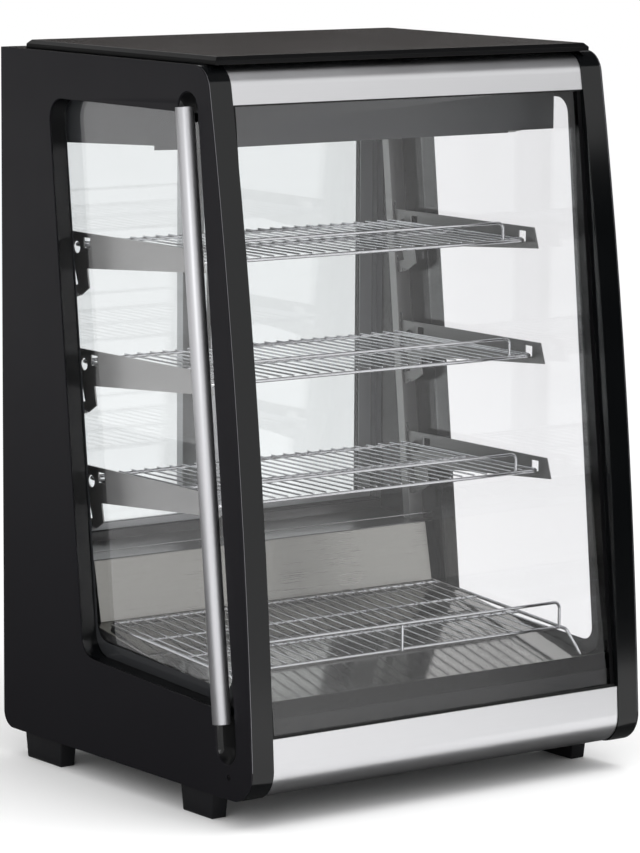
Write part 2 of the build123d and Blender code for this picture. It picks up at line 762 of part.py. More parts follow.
def top_trim():
    """Convex front strip under the lid, with a channel for the glass and a flange to the ceiling box."""
    x = X_LIP - GAP
    z_low = Z_TOP - TOP_TRIM_DROP
    y_end = Y_TOP_FRONT + TOP_TRIM_REACH
    z_web = z_low + TOP_POCKET + TRIM_LEG
    leg_end = glass_y(z_web, INNER_LEG + TRIM_LEG)
    z_flange = Z_TOP - TRIM_INSET - TRIM_THICKNESS
    inside = panel_outline(TRIM_INSET + TRIM_THICKNESS / 2)
    profile = trim_band() & window_box(Y_FRONT - CUT_REACH, y_end, z_low, Z_TOP + CUT_REACH)
    profile += trim_leg(z_low, z_web)
    profile += inside & window_box(Y_FRONT - CUT_REACH, leg_end, z_web - TRIM_LEG, z_web)
    profile += inside & window_box(
        y_end - TOP_TRIM_FLANGE_LAP, Y_CEILING_FRONT - GAP, z_flange, z_flange + TRIM_THICKNESS
    )
    return across(profile, -x, x)


def bottom_trim():
    """Convex front strip that curves under the case, with a channel for the glass."""
    x = X_LIP - GAP
    z_high = Z_BASE + BOTTOM_TRIM_RISE
    y_end = Y_FRONT + BOTTOM_TRIM_REACH
    z_web = z_high - BOTTOM_POCKET
    leg_end = glass_y(z_web, INNER_LEG + TRIM_LEG)
    inside = panel_outline(TRIM_INSET + TRIM_THICKNESS / 2)
    profile = trim_band() & window_box(Y_FRONT - CUT_REACH, y_end, Z_BASE - CUT_REACH, z_high)
    profile += trim_leg(z_web - TRIM_LEG, z_high)
    profile += inside & window_box(Y_FRONT - CUT_REACH, leg_end, z_web - TRIM_LEG, z_web)
    return across(profile, -x, x)


def glass_edges():
    """Lower and upper edge heights of the front glass, inside the trims' channels."""
    z_low = Z_BASE + BOTTOM_TRIM_RISE - BOTTOM_POCKET + SEAL_THICKNESS + GAP
    z_high = Z_TOP - TOP_TRIM_DROP + TOP_POCKET - SEAL_THICKNESS - GAP
    return z_low, z_high


def leaning_slab(z_low, z_high, near, far):
    """Side-view face parallel to the front glass."""
    return side_face([
        (glass_y(z_low, near), z_low),
        (glass_y(z_low, far), z_low),
        (glass_y(z_high, far), z_high),
        (glass_y(z_high, near), z_high),
    ])


def front_glass():
    """Flat leaning front glass."""
    z_low, z_high = glass_edges()
    x = X_LIP - 2 * GAP
    return across(leaning_slab(z_low, z_high, 0, FRONT_GLASS_THICKNESS), -x, x)


def front_glass_seals():
    """Rubber channels around the lower and upper edges of the front glass."""
    z_low, z_high = glass_edges()
    x = X_LIP - 2 * GAP
    far = FRONT_GLASS_THICKNESS + SEAL_THICKNESS
    z_trim_low = Z_BASE + BOTTOM_TRIM_RISE
    z_trim_high = Z_TOP - TOP_TRIM_DROP
    lower = leaning_slab(z_low - SEAL_THICKNESS, z_trim_low + SEAL_SHOW, -SEAL_FRONT, far)
    lower -= leaning_slab(z_low, z_trim_low + SEAL_SHOW + 1, 0, FRONT_GLASS_THICKNESS)
    upper = leaning_slab(z_trim_high - SEAL_SHOW, z_high + SEAL_THICKNESS, -SEAL_FRONT, far)
    upper -= leaning_slab(z_trim_high - SEAL_SHOW - 1, z_high, 0, FRONT_GLASS_THICKNESS)
    return [across(lower, -x, x), across(upper, -x, x)]


def base_pan():
    """Sheet floor of the machine space, with turned-up edges."""
    x = X_WALL - GAP
    y0 = Y_FRONT + BOTTOM_TRIM_REACH + GAP
    y1 = Y_COVER_FACE - REAR_COVER_SHEET - GAP
    z0 = Z_BASE + TRIM_INSET
    t = BASE_SHEET
    pan = block(-x, x, y0, y1, z0, z0 + BASE_RISE)
    return pan - block(-x + t, x - t, y0 + t, y1 - t, z0 + t, z0 + BASE_RISE + 1)


def floor_insulation():
    """Foam floor and rear wall of the cooled space, in one moulding."""
    x = X_WALL - GAP
    y_front = deck_front_y()
    drop = SHEET + GAP
    t = INSULATION_THICKNESS
    y_back = Y_TRACK - GAP
    z_rear = Z_DECK_REAR - drop
    z_wall = Z_LEDGE - SHEET - GAP
    points = [
        (y_front, deck_z(y_front) - drop),
        (Y_DECK_REAR, z_rear),
        (y_back - INSULATION_REAR_WALL, z_rear),
        (y_back - INSULATION_REAR_WALL, z_wall),
        (y_back, z_wall),
        (y_back, z_rear - t),
        (Y_DECK_REAR, z_rear - t),
        (y_front, deck_z(y_front) - drop - t),
    ]
    return across(side_face(points), -x, x) - lip_clearance()


def lip_clearance():
    """Space that the side frames' front lips take from the floor pieces."""
    face = leaning_slab(Z_BASE, Z_BASE + PANEL_HEIGHT / 2, -LIP_WIDTH, LIP_DEPTH + GAP)
    right = across(face, X_LIP - GAP, X_GLASS)
    return right + mirrored(right)


def deck_front_y():
    """Depth of the deck's front fold, behind the front glass and the trim's leg."""
    z = Z_BASE + BOTTOM_TRIM_RISE
    return glass_y(z, FRONT_GLASS_THICKNESS + SEAL_THICKNESS + TRIM_LEG + DECK_FRONT_GAP)


def floor_deck():
    """Inclined stainless floor with a front upstand parallel to the glass."""
    x = X_WALL - GAP
    y_front = deck_front_y()
    y_back = Y_DECK_REAR
    z_fold = deck_z(y_front)
    z_edge = z_fold + DECK_UPSTAND
    lean = TOP_SETBACK / PANEL_HEIGHT
    t = SHEET
    points = [
        (y_back, deck_z(y_back)),
        (y_front + t, deck_z(y_front + t)),
        (y_front + t + lean * DECK_UPSTAND, z_edge),
        (y_front + lean * DECK_UPSTAND, z_edge),
        (y_front, z_fold - t),
        (y_back, deck_z(y_back) - t),
    ]
    return across(side_face(points), -x, x) - lip_clearance()


def duct_line(z):
    """Depth of the duct panel's face, which leans forward going down."""
    return Y_LEDGE_FRONT - DUCT_LEAN * (Z_LEDGE - z)


def duct_panel():
    """Stainless front of the air duct, with returns folded back at both ends."""
    x = X_WALL - DUCT_SIDE_GAP
    z0 = Z_DECK_REAR + GAP
    z1 = Z_LEDGE - SHEET - GAP
    t = SHEET
    sheet = side_face([(duct_line(z0), z0), (duct_line(z0) + t, z0), (duct_line(z1) + t, z1), (duct_line(z1), z1)])
    depth = DUCT_RETURN
    fold = side_face([
        (duct_line(z0), z0),
        (duct_line(z0) + depth, z0),
        (duct_line(z1) + depth, z1),
        (duct_line(z1), z1),
    ])
    panel = across(sheet, -x, x) + across(fold, x - t, x) + across(fold, -x, -x + t)
    tab = block(-x, x, Y_LEDGE_FRONT + CLOSE_FIT, Y_LEDGE_FRONT + depth, z1 - t, z1)
    return panel + tab


def ledge_panel():
    """Shelf over the evaporator, on the duct panel, with a rear flange against the sill."""
    x = X_WALL - GAP
    y1 = Y_TRACK - GAP
    z1 = Z_LEDGE
    t = SHEET
    ledge = block(-x, x, Y_LEDGE_FRONT, y1, z1 - t, z1)
    back = block(-x, x, y1 - t, y1, z1, Z_SILL_TOP - LEDGE_FLANGE_DROP)
    return ledge + back


def door_plane(right):
    """Inner and outer face depths of one door: the left door runs in the inner track."""
    pitch = (TRACK_DEPTH - FIN_THICKNESS) / 2
    first = Y_TRACK + FIN_THICKNESS + (pitch - FIN_THICKNESS - DOOR_THICKNESS) / 2
    y0 = first + (pitch if right else 0)
    return y0, y0 + DOOR_THICKNESS


def track_fins(z_low, z_high):
    """Three upright fins that make the two door tracks."""
    x = X_GLASS - GAP
    pitch = (TRACK_DEPTH - FIN_THICKNESS) / 2
    fins = []
    for index in range(3):
        y0 = Y_TRACK + index * pitch
        fins.append(block(-x, x, y0, y0 + FIN_THICKNESS, z_low, z_high))
    return fins[0] + fins[1] + fins[2]


def rear_sill():
    """Lower track under the doors."""
    x = X_GLASS - GAP
    z_base = Z_BASE + SILL_BASE_HEIGHT
    sill = block(-x, x, Y_TRACK, Y_REAR, Z_SILL_FLOOR - TRACK_SHEET, Z_SILL_FLOOR)
    sill += track_fins(Z_SILL_FLOOR - TRACK_SHEET, Z_SILL_TOP)
    sill += block(-x, x, Y_TRACK, Y_TRACK + FIN_THICKNESS, z_base, Z_SILL_TOP)
    return sill + block(-x, x, Y_REAR - FIN_THICKNESS, Y_REAR, z_base, Z_SILL_TOP)


def rear_header():
    """Upper track and rear top rail in one profile."""
    x = X_GLASS - GAP
    z1 = Z_TOP
    header = block(-x, x, Y_TRACK, Y_REAR, Z_HEADER_WEB, Z_HEADER_WEB + TRACK_SHEET)
    header += track_fins(Z_HEADER_BOTTOM, Z_HEADER_WEB + TRACK_SHEET)
    header += block(-x, x, Y_REAR - TRACK_SHEET, Y_REAR, Z_HEADER_BOTTOM, z1)
    return header + block(-x, x, Y_TRACK, Y_REAR, z1 - TRACK_SHEET, z1)


def door_jamb():
    """Strip on the right frame beside the doors, between sill and header."""
    z0 = Z_SILL_TOP + GAP
    z1 = Z_HEADER_BOTTOM - GAP
    jamb = block(X_WALL, X_GLASS, Y_TRACK, Y_REAR - GAP, z0, z1)
    for right in (False, True):
        y0, y1 = door_plane(right)
        middle = (y0 + y1) / 2
        half = JAMB_GROOVE / 2
        jamb -= block(X_WALL - 1, X_WALL + JAMB_GROOVE_DEPTH, middle - half, middle + half, z0 - 1, z1 + 1)
    return jamb


def door_heights():
    """Bottom and top of a door."""
    return Z_SILL_FLOOR + DOOR_CLEARANCE, Z_HEADER_WEB - DOOR_LIFT


def door_sides(right):
    """Outer and meeting edge of a door in X."""
    outer = X_WALL - DOOR_CLEARANCE
    if right:
        return -DOOR_OVERLAP_HALF, outer
    return -outer, DOOR_OVERLAP_HALF


def door_opening(right, grow=0.0):
    """Corners of a door's clear opening in X and Z."""
    x0, x1 = door_sides(right)
    z0, z1 = door_heights()
    left_stile = DOOR_MEETING_STILE if right else DOOR_SIDE_STILE
    right_stile = DOOR_SIDE_STILE if right else DOOR_MEETING_STILE
    return x0 + left_stile - grow, x1 - right_stile + grow, z0 + DOOR_RAIL - grow, z1 - DOOR_RAIL + grow


def glass_unit_depth():
    """Thickness of the double glass."""
    return 2 * PANE_THICKNESS + PANE_SPACE


def door_frame(right):
    """Aluminium frame with a groove around the double glass and a cut-out for the finger cup."""
    x0, x1 = door_sides(right)
    z0, z1 = door_heights()
    y0, y1 = door_plane(right)
    frame = block(x0, x1, y0, y1, z0, z1)
    a0, a1, b0, b1 = door_opening(right)
    frame -= block(a0, a1, y0 - 1, y1 + 1, b0, b1)
    g0, g1, h0, h1 = door_opening(right, GLASS_SEAT + GAP)
    middle = (y0 + y1) / 2
    half = glass_unit_depth() / 2 + GAP / 2
    frame -= block(g0, g1, middle - half, middle + half, h0, h1)
    return frame - pull_cup_block(right, GAP)


def door_panes(right):
    """Two panes of one door with their spacer ring between."""
    y0, y1 = door_plane(right)
    middle = (y0 + y1) / 2
    half = glass_unit_depth() / 2
    g0, g1, h0, h1 = door_opening(right, GLASS_SEAT)
    unit = []
    for low in (middle - half, middle + half - PANE_THICKNESS):
        unit.append(block(g0, g1, low, low + PANE_THICKNESS, h0, h1))
    edge = SPACER_INSET
    ring = block(g0 + edge, g1 - edge, middle - PANE_SPACE / 2, middle + PANE_SPACE / 2, h0 + edge, h1 - edge)
    edge += SPACER_WIDTH
    ring -= block(g0 + edge, g1 - edge, y0, y1, h0 + edge, h1 - edge)
    unit.append(ring)
    return unit


def pull_centre(right):
    """Centre of a finger pull in X and Z, on the door's outer stile."""
    x0, x1 = door_sides(right)
    inset = PULL_WIDTH / 2 + PULL_FROM_EDGE
    return x1 - inset if right else x0 + inset, Z_BASE + PULL_CENTRE_HEIGHT


def rear_prism(right, half_x, half_z, corner, y0, y1):
    """Rounded block on a finger pull's centre between two depths."""
    x, z = pull_centre(right)
    outline = Plane.XZ * Pos(x, z) * RectangleRounded(2 * half_x, 2 * half_z, corner)
    return Pos(0, y0, 0) * extrude(outline, amount=y1 - y0, dir=(0, 1, 0))


def pull_cup_block(right, grow=0.0):
    """Space of the finger cup inside a stile."""
    y1 = door_plane(right)[1]
    half_x = PULL_WIDTH / 2 - PULL_FLANGE + grow
    half_z = PULL_HEIGHT / 2 - PULL_FLANGE + grow
    return rear_prism(right, half_x, half_z, PULL_CUP_CORNER, y1 - PULL_CUP_DEPTH - grow, y1 + 1)


def door_pull(right):
    """Finger cup with a thin flange on the door's rear face."""
    y1 = door_plane(right)[1]
    half_x = PULL_WIDTH / 2
    half_z = PULL_HEIGHT / 2
    wall = PULL_FLANGE + PULL_CUP_WALL
    flange = rear_prism(right, half_x, half_z, PULL_CORNER, y1, y1 + PULL_PLATE)
    cup = rear_prism(right, half_x - PULL_FLANGE, half_z - PULL_FLANGE, PULL_CUP_CORNER, y1 - PULL_CUP_DEPTH, y1)
    bottom = y1 - PULL_CUP_DEPTH + PULL_CUP_WALL
    corner = PULL_CUP_CORNER - PULL_CUP_WALL
    return flange + cup - rear_prism(right, half_x - wall, half_z - wall, corner, bottom, y1 + PULL_PLATE + 1)


def slot_zones():
    """Height ranges of the slots in an upright: two for each shelf."""
    zones = []
    for level in range(3):
        z = shelf_z(level)
        zones.append((z + SLOT_RISE - SLOT_HEIGHT, z + SLOT_RISE))
        zones.append((z - BRACKET_DEPTH - GAP, z - BRACKET_DEPTH - GAP + SLOT_HEIGHT))
    return zones


def shelf_z(level):
    """Height of the brackets' top edges: level 0 is the top shelf."""
    return Z_BASE + TOP_SHELF_HEIGHT - level * SHELF_PITCH


def upright_band(near, far, low, high):
    """Side-view face that leans as the uprights do."""
    return side_face([
        (upright_y(low) + near, low),
        (upright_y(low) + far, low),
        (upright_y(high) + far, high),
        (upright_y(high) + near, high),
    ])


def upright():
    """Slotted channel that leans back against the right wall."""
    x0 = X_WALL - UPRIGHT_WIDTH
    x1 = X_WALL
    z0 = Z_LEDGE + GAP
    z1 = Z_CEILING - GAP
    t = UPRIGHT_SHEET

    channel = across(upright_band(0, UPRIGHT_DEPTH, z0, z1), x0, x1)
    hollow = upright_band(t, UPRIGHT_DEPTH + 1, z0 - CUT_REACH, z1 + CUT_REACH)
    channel -= across(hollow, x0 + t, x1 - t)
    half = SLOT_WIDTH / 2
    for low, high in slot_zones():
        y = upright_y((low + high) / 2)
        channel -= block(X_BRACKET - half, X_BRACKET + half, y - UPRIGHT_DEPTH / 2, y + UPRIGHT_DEPTH / 2, low, high)
    return channel


def bracket(level):
    """Right shelf bracket: tapered plate with hooks, a round hole and two lanced tabs that carry the shelf."""
    z_top = shelf_z(level)

    def at(ahead, below):
        return upright_y(z_top - below) - ahead, z_top - below

    sheet = UPRIGHT_SHEET + GAP
    # Round the plate as (ahead of the upright, below the top edge): nose, waist, lower hook, upper hook.
    outline = [
        at(GAP, 0),
        at(BRACKET_LENGTH, 0),
        at(BRACKET_LENGTH + BRACKET_NOSE, BRACKET_FRONT_DEPTH),
        at(BRACKET_LEG_WIDTH, BRACKET_REAR_DEPTH),
        at(BRACKET_LEG_WIDTH + 2.0, BRACKET_DEPTH - 15.2),
        at(21.0, BRACKET_DEPTH - 4.3),
        at(5.5, BRACKET_DEPTH),
        at(GAP, BRACKET_DEPTH),
        at(-sheet, BRACKET_DEPTH),
        at(-sheet, BRACKET_DEPTH - 12.0),
        at(GAP, BRACKET_DEPTH - 14.7),
        at(14.7, BRACKET_DEPTH - 17.7),
        at(3.0, 24.0),
        at(GAP, 22.0),
        at(GAP, 11.5),
        at(-sheet, 11.5),
        at(-sheet, 17.5),
        at(-sheet - HOOK_LAP, 17.5),
        at(-sheet - HOOK_LAP, 2.0),
        at(GAP, 2.0),
    ]
    plate = side_face(outline)
    plate -= Pos(*at(BRACKET_HOLE_AHEAD, BRACKET_HOLE_BELOW)) * Circle(BRACKET_HOLE / 2)
    lance_bottom = LANCE_TOP + LANCE_WIDTH
    lances = []
    for start in (LANCE_REAR, BRACKET_LENGTH - LANCE_FRONT_INSET - LANCE_WIDTH):
        y_near, z_high = at(start, LANCE_TOP)
        y_far = y_near - LANCE_WIDTH
        plate -= window_box(y_far, y_near, z_top - lance_bottom, z_high)
        lances.append((y_far + LANCE_PLAY, y_near - LANCE_PLAY))
    for index in range(3):
        y, z = at(NOTCH_FIRST + index * NOTCH_PITCH, BRACKET_DEPTH)
        plate -= window_box(y - NOTCH_WIDTH / 2, y + NOTCH_WIDTH / 2, z - 1, z + NOTCH_HEIGHT)
    x0 = X_BRACKET - BRACKET_SHEET / 2
    x1 = X_BRACKET + BRACKET_SHEET / 2
    part = across(plate, x0, x1)
    z_tab = z_top - SHELF_WIRE_DROP - FRAME_WIRE / 2 - WELD_GAP
    for y0, y1 in lances:
        part += block(x0 - LANCE_REACH + BRACKET_SHEET, x1, y0, y1, z_tab - BRACKET_SHEET, z_tab)
        part += block(x0, x1, y0, y1, z_top - lance_bottom - 1, z_tab)
    return part


def cross_positions(half_width):
    """X positions of the thin wires, evenly spaced about the middle."""
    count = int(2 * (half_width - FRAME_WIRE) / CROSS_PITCH)
    return [(index - count / 2) * CROSS_PITCH for index in range(count + 1)]


def shelf_lines(level):
    """Depths of a shelf's rear, middle and front wires, and their height."""
    z_top = shelf_z(level)
    z = z_top - SHELF_WIRE_DROP
    y_rear = upright_y(z) - FRAME_WIRE / 2 - GAP
    y_front = upright_y(z_top) - BRACKET_LENGTH + SHELF_FRONT_INSET
    return y_rear, (y_rear + y_front) / 2, y_front, z


def guard_rail(half_width, y, z_low, height):
    """Bent guard rail along a shelf's front edge."""
    points = [
        (-half_width, y, z_low),
        (-half_width, y, z_low + height),
        (half_width, y, z_low + height),
        (half_width, y, z_low),
    ]
    return bent_wire(points, GUARD_CORNER, GUARD_WIRE)


def wire_shelf(level):
    """Welded wire shelf: bent frame wire, a middle bar, thin wires on top and the guard rail."""
    half = X_BRACKET - BRACKET_SHEET / 2 - SHELF_SIDE_GAP - FRAME_WIRE / 2
    y_rear, y_middle, y_front, z = shelf_lines(level)
    corners = [(-half, y_rear, z), (half, y_rear, z), (half, y_front, z), (-half, y_front, z)]
    pieces = [bent_wire(corners, SHELF_CORNER, FRAME_WIRE, close=True)]
    inner = half - FRAME_WIRE / 2 - WELD_GAP
    pieces.append(rod((-inner, y_middle, z), (inner, y_middle, z), FRAME_WIRE))
    z_cross = z + FRAME_WIRE / 2 + WELD_GAP + CROSS_WIRE / 2
    for x in cross_positions(half):
        start = (x, y_rear + WIRE_END_INSET, z_cross)
        pieces.append(rod(start, (x, y_front - WIRE_END_INSET, z_cross), CROSS_WIRE))
    y_guard = y_front + FRAME_WIRE / 2 + WELD_GAP + GUARD_WIRE / 2
    pieces.append(guard_rail(X_BRACKET - GUARD_INSET, y_guard, z - GUARD_FOOT, GUARD_HEIGHT + GUARD_FOOT))
    return pieces


def bottom_rack():
    """Sloping rack on the deck: one bent frame wire whose ends are the front legs, bars, thin wires, guard rail."""
    half = X_WALL - RACK_SIDE_GAP - FRAME_WIRE / 2
    radius = FRAME_WIRE / 2
    y_rear = Y_DECK_REAR - RACK_REAR_GAP
    z_rear = deck_z(y_rear) + radius + 1.4 * GAP
    y_front = deck_front_y() + RACK_FRONT_GAP
    y_leg = y_front - RACK_LEG_REACH
    z_leg = deck_z(y_leg) + radius + 1.7 * GAP

    def z_at(y):
        return z_rear - RACK_SLOPE * (y_rear - y)

    route = [
        (-half, y_leg, z_leg),
        (-half, y_front, z_at(y_front)),
        (-half, y_rear, z_rear),
        (half, y_rear, z_rear),
        (half, y_front, z_at(y_front)),
        (half, y_leg, z_leg),
    ]
    pieces = [bent_wire(route, RACK_BEND, FRAME_WIRE)]
    inner = half - radius - WELD_GAP
    y_bar_front = y_front + RACK_BEND
    for index in range(RACK_BARS):
        y = y_rear + (index + 1) / RACK_BARS * (y_bar_front - y_rear)
        pieces.append(rod((-inner, y, z_at(y)), (inner, y, z_at(y)), FRAME_WIRE))
    rise = radius + 1.4 * WELD_GAP + CROSS_WIRE / 2
    y_end = y_bar_front - WIRE_END_INSET
    y_start = y_rear + WIRE_END_INSET
    for x in cross_positions(half):
        start = (x, y_start, z_at(y_start) + rise)
        pieces.append(rod(start, (x, y_end, z_at(y_end) + rise), CROSS_WIRE))
    y_guard = y_bar_front - radius - WELD_GAP - GUARD_WIRE / 2
    z_guard = z_at(y_guard) - GUARD_FOOT
    height = RACK_GUARD_HEIGHT + GUARD_FOOT
    pieces.append(guard_rail(half - RACK_GUARD_INSET, y_guard, z_guard, height))
    z_post = z_guard + height - GUARD_WIRE / 2 - WELD_GAP
    pieces.append(rod((0, y_guard, z_guard), (0, y_guard, z_post), GUARD_WIRE))
    return pieces


def foot(y0, y1):
    """Tapered foot under the right panel between two depths."""
    x_outer = X_OUT - FOOT_SIDE_INSET
    x_middle = x_outer - FOOT_WIDTH / 2
    y_middle = (y0 + y1) / 2
    top = Pos(x_middle, y_middle, Z_BASE) * Rectangle(FOOT_WIDTH, y1 - y0)
    bottom = Pos(x_middle, y_middle, 0) * Rectangle(FOOT_WIDTH - FOOT_TAPER, y1 - y0 - 2 * FOOT_TAPER)
    return loft([bottom, top])


def feet():
    """Four feet."""
    front0 = Y_FRONT + FRONT_FOOT_SETBACK
    rear1 = Y_REAR - REAR_FOOT_INSET
    pair = [foot(front0, front0 + FRONT_FOOT_LENGTH), foot(rear1 - REAR_FOOT_LENGTH, rear1)]
    return pair + [mirrored(piece) for piece in pair]


def fin_block(width, depth, height):
    """Heat exchanger: fins on a thin core that stands for its tube rows."""
    body = Box(width, depth, height)
    count = int(width / FIN_PITCH) - 1
    for index in range(count):
        x = (index - (count - 1) / 2) * FIN_PITCH
        for side in (-1, 1):
            slot = (depth - CORE_THICKNESS) / 2
            y = side * (CORE_THICKNESS + slot + CLOSE_FIT) / 2
            body -= Pos(x, y, 0) * Box(FIN_PITCH - FIN_SHEET, slot + CLOSE_FIT, height + 2)
    return body


def end_bends(width, height, rows, pipe):
    """Return bends at both ends of a heat exchanger."""
    pitch = height / rows
    bends = []
    for side in (-1, 1):
        for row in range(rows - 1):
            z = (row + 1) * pitch - height / 2
            shift = pitch / 2
            x0 = side * (width / 2 - CLOSE_FIT)
            path = ThreePointArc((x0, 0, z - shift), (x0 + side * shift, 0, z), (x0, 0, z + shift))
            if (row + (1 if side > 0 else 0)) % 2 == 0:
                bends.append(sweep(Plane(path ^ 0) * Circle(pipe / 2), path=path))
    return bends


def condenser_centre():
    """Centre of the condenser, in front of the louvres and on the base."""
    y = Y_COVER_FACE - REAR_COVER_SHEET - CONDENSER_REAR_GAP - CONDENSER_DEPTH / 2
    return Vector(CONDENSER_X, y, base_top() + CONDENSER_HEIGHT / 2 + GAP)


def base_top():
    """Height of the base pan's inner face."""
    return Z_BASE + TRIM_INSET + BASE_SHEET


def condenser():
    """Finned condenser with return bends."""
    body = fin_block(CONDENSER_WIDTH, CONDENSER_DEPTH, CONDENSER_HEIGHT)
    for bend in end_bends(CONDENSER_WIDTH, CONDENSER_HEIGHT, CONDENSER_ROWS, PIPE_DIAMETER):
        body += bend
    return Pos(condenser_centre()) * body


def fan_centre():
    """Centre of the condenser fan's housing, face to face with the condenser."""
    centre = condenser_centre()
    return Vector(centre.X, centre.Y - CONDENSER_DEPTH / 2 - GAP - FAN_HOUSING_DEPTH / 2, centre.Z)


def fan_ring_diameter():
    """Bore of the fan housing."""
    return FAN_DIAMETER + 2 * FAN_TIP_GAP


def condenser_fan_housing():
    """Square fan frame with a round bore, four struts and the motor's hub with its pin."""
    bore = fan_ring_diameter()
    side = bore + 2 * FAN_FRAME_WALL
    depth = FAN_HOUSING_DEPTH
    turn = Rot(90, 0, 0)
    frame = Box(side, depth, side)
    frame -= turn * Cylinder(bore / 2, depth + 2)
    hub_front = depth / 2 - FAN_HUB_THICKNESS
    hub_middle = hub_front + FAN_HUB_THICKNESS / 2
    frame += Pos(0, hub_middle, 0) * turn * Cylinder(FAN_HUB_DIAMETER / 2, FAN_HUB_THICKNESS)
    strut_start = FAN_HUB_DIAMETER / 2 - 1
    strut_end = side / 2 - 1
    for index in range(4):
        strut = Pos((strut_start + strut_end) / 2, hub_middle, 0) * Box(strut_end - strut_start, *FAN_STRUT)
        frame += Rot(0, 45 + 90 * index, 0) * strut
    pin_length = depth - FAN_PIN_SHORTER
    frame += Pos(0, hub_front - pin_length / 2, 0) * turn * Cylinder(SHAFT_DIAMETER / 2, pin_length)
    return Pos(fan_centre()) * frame


def fan_blade():
    """One twisted blade, lofted from a steep root to a flatter tip."""
    sections = []
    for radius, chord, pitch in FAN_BLADE_SECTIONS:
        plane = Plane(origin=(radius, 0, 0), x_dir=(0, 0, 1), z_dir=(1, 0, 0))
        outline = RectangleRounded(chord, FAN_BLADE_SHEET, FAN_BLADE_SHEET / 2 - CLOSE_FIT)
        sections.append(plane * Rot(0, 0, pitch) * outline)
    return loft(sections)


def condenser_fan_rotor():
    """Fan wheel on the motor's pin."""
    turn = Rot(90, 0, 0)
    length = FAN_HOUSING_DEPTH - FAN_WHEEL_SHORTER
    hub = turn * Cylinder(FAN_WHEEL_HUB / 2, length)
    blade = fan_blade() & (turn * Cylinder(FAN_DIAMETER / 2, FAN_HOUSING_DEPTH))
    for index in range(FAN_BLADES):
        hub += Rot(0, index * 360 / FAN_BLADES, 0) * blade
    hub = fillet(hub.edges().filter_by(GeomType.CIRCLE).sort_by(Axis.Y)[0], 2.0)
    bore = Cylinder(SHAFT_DIAMETER / 2 + SHAFT_CLEARANCE, length)
    hub -= Pos(0, 2.0, 0) * turn * bore
    return Pos(fan_centre() - Vector(0, FAN_WHEEL_SHIFT, 0)) * hub


def compressor():
    """Hermetic compressor: domed can, seam, terminal cover, foot plate and rubber mounts."""
    radius = COMPRESSOR_DIAMETER / 2
    z0 = base_top() + GAP
    z_plate = COMPRESSOR_MOUNT_HEIGHT
    z_can = z_plate + COMPRESSOR_PLATE
    z_middle = (z_can + COMPRESSOR_HEIGHT) / 2
    can = Pos(0, 0, z_middle) * Cylinder(radius, COMPRESSOR_HEIGHT - z_can)
    can = fillet(can.edges().filter_by(GeomType.CIRCLE).sort_by(Axis.Z)[-1], COMPRESSOR_DOME)
    can = fillet(can.edges().filter_by(GeomType.CIRCLE).sort_by(Axis.Z)[0], COMPRESSOR_DOME / 2)
    can += Pos(0, 0, z_middle) * Cylinder(radius + COMPRESSOR_SEAM, COMPRESSOR_SEAM_HEIGHT)
    mount_x = radius + 4.0
    mount_y = radius - 24.0
    reach = COMPRESSOR_MOUNT_DIAMETER / 2 + 1.0
    body = can + block(-mount_x - reach, mount_x + reach, -mount_y - reach, mount_y + reach, z_plate, z_can)
    body += Pos(-radius - 8.0, 0, z_can + TERMINAL_HEIGHT) * Box(*TERMINAL_COVER)
    for x in (-mount_x, mount_x):
        for y in (-mount_y, mount_y):
            body += Pos(x, y, z_plate / 2) * Cylinder(COMPRESSOR_MOUNT_DIAMETER / 2, z_plate)
    return Pos(COMPRESSOR_X, Y_COVER_FACE - COMPRESSOR_Y_INSET, z0) * body


def evaporator_centre():
    """Centre of the evaporator, on the insulation and in front of its rear wall."""
    y = Y_TRACK - GAP - INSULATION_REAR_WALL - EVAPORATOR_REAR_GAP - EVAPORATOR_DEPTH / 2
    return Vector(0, y, Z_DECK_REAR - SHEET - GAP + EVAPORATOR_HEIGHT / 2 + GAP)


def evaporator():
    """Finned evaporator with return bends."""
    body = fin_block(EVAPORATOR_WIDTH, EVAPORATOR_DEPTH, EVAPORATOR_HEIGHT)
    for bend in end_bends(EVAPORATOR_WIDTH, EVAPORATOR_HEIGHT, EVAPORATOR_ROWS, PIPE_DIAMETER):
        body += bend
    return Pos(evaporator_centre()) * body


def blower_axis():
    """Depth and height of the blower's shaft."""
    centre = evaporator_centre()
    return centre.Y - EVAPORATOR_DEPTH / 2 - BLOWER_DIAMETER / 2 - BLOWER_TO_EVAPORATOR, centre.Z


def blower_housing():
    """End plates with bearing holes, a floor strip and the motor."""
    y, z = blower_axis()
    half = BLOWER_LENGTH / 2 + BLOWER_END_GAP
    outer = half + BLOWER_PLATE
    z0 = Z_DECK_REAR - SHEET
    radius = BLOWER_DIAMETER / 2
    housing = block(-outer, outer, y - radius, y + radius, z0, z0 + BLOWER_FLOOR)
    for x in (-outer, half):
        housing += block(x, x + BLOWER_PLATE, y - radius, y + radius, z0, z + radius)
    housing += rod((outer, y, z), (outer + BLOWER_MOTOR_LENGTH, y, z), BLOWER_MOTOR_DIAMETER)
    bore = SHAFT_DIAMETER + 2 * SHAFT_CLEARANCE
    shaft_end = BLOWER_LENGTH / 2 + SHAFT_RIGHT_END + BLOWER_END_GAP
    return housing - rod((-outer - CUT_REACH, y, z), (shaft_end, y, z), bore)


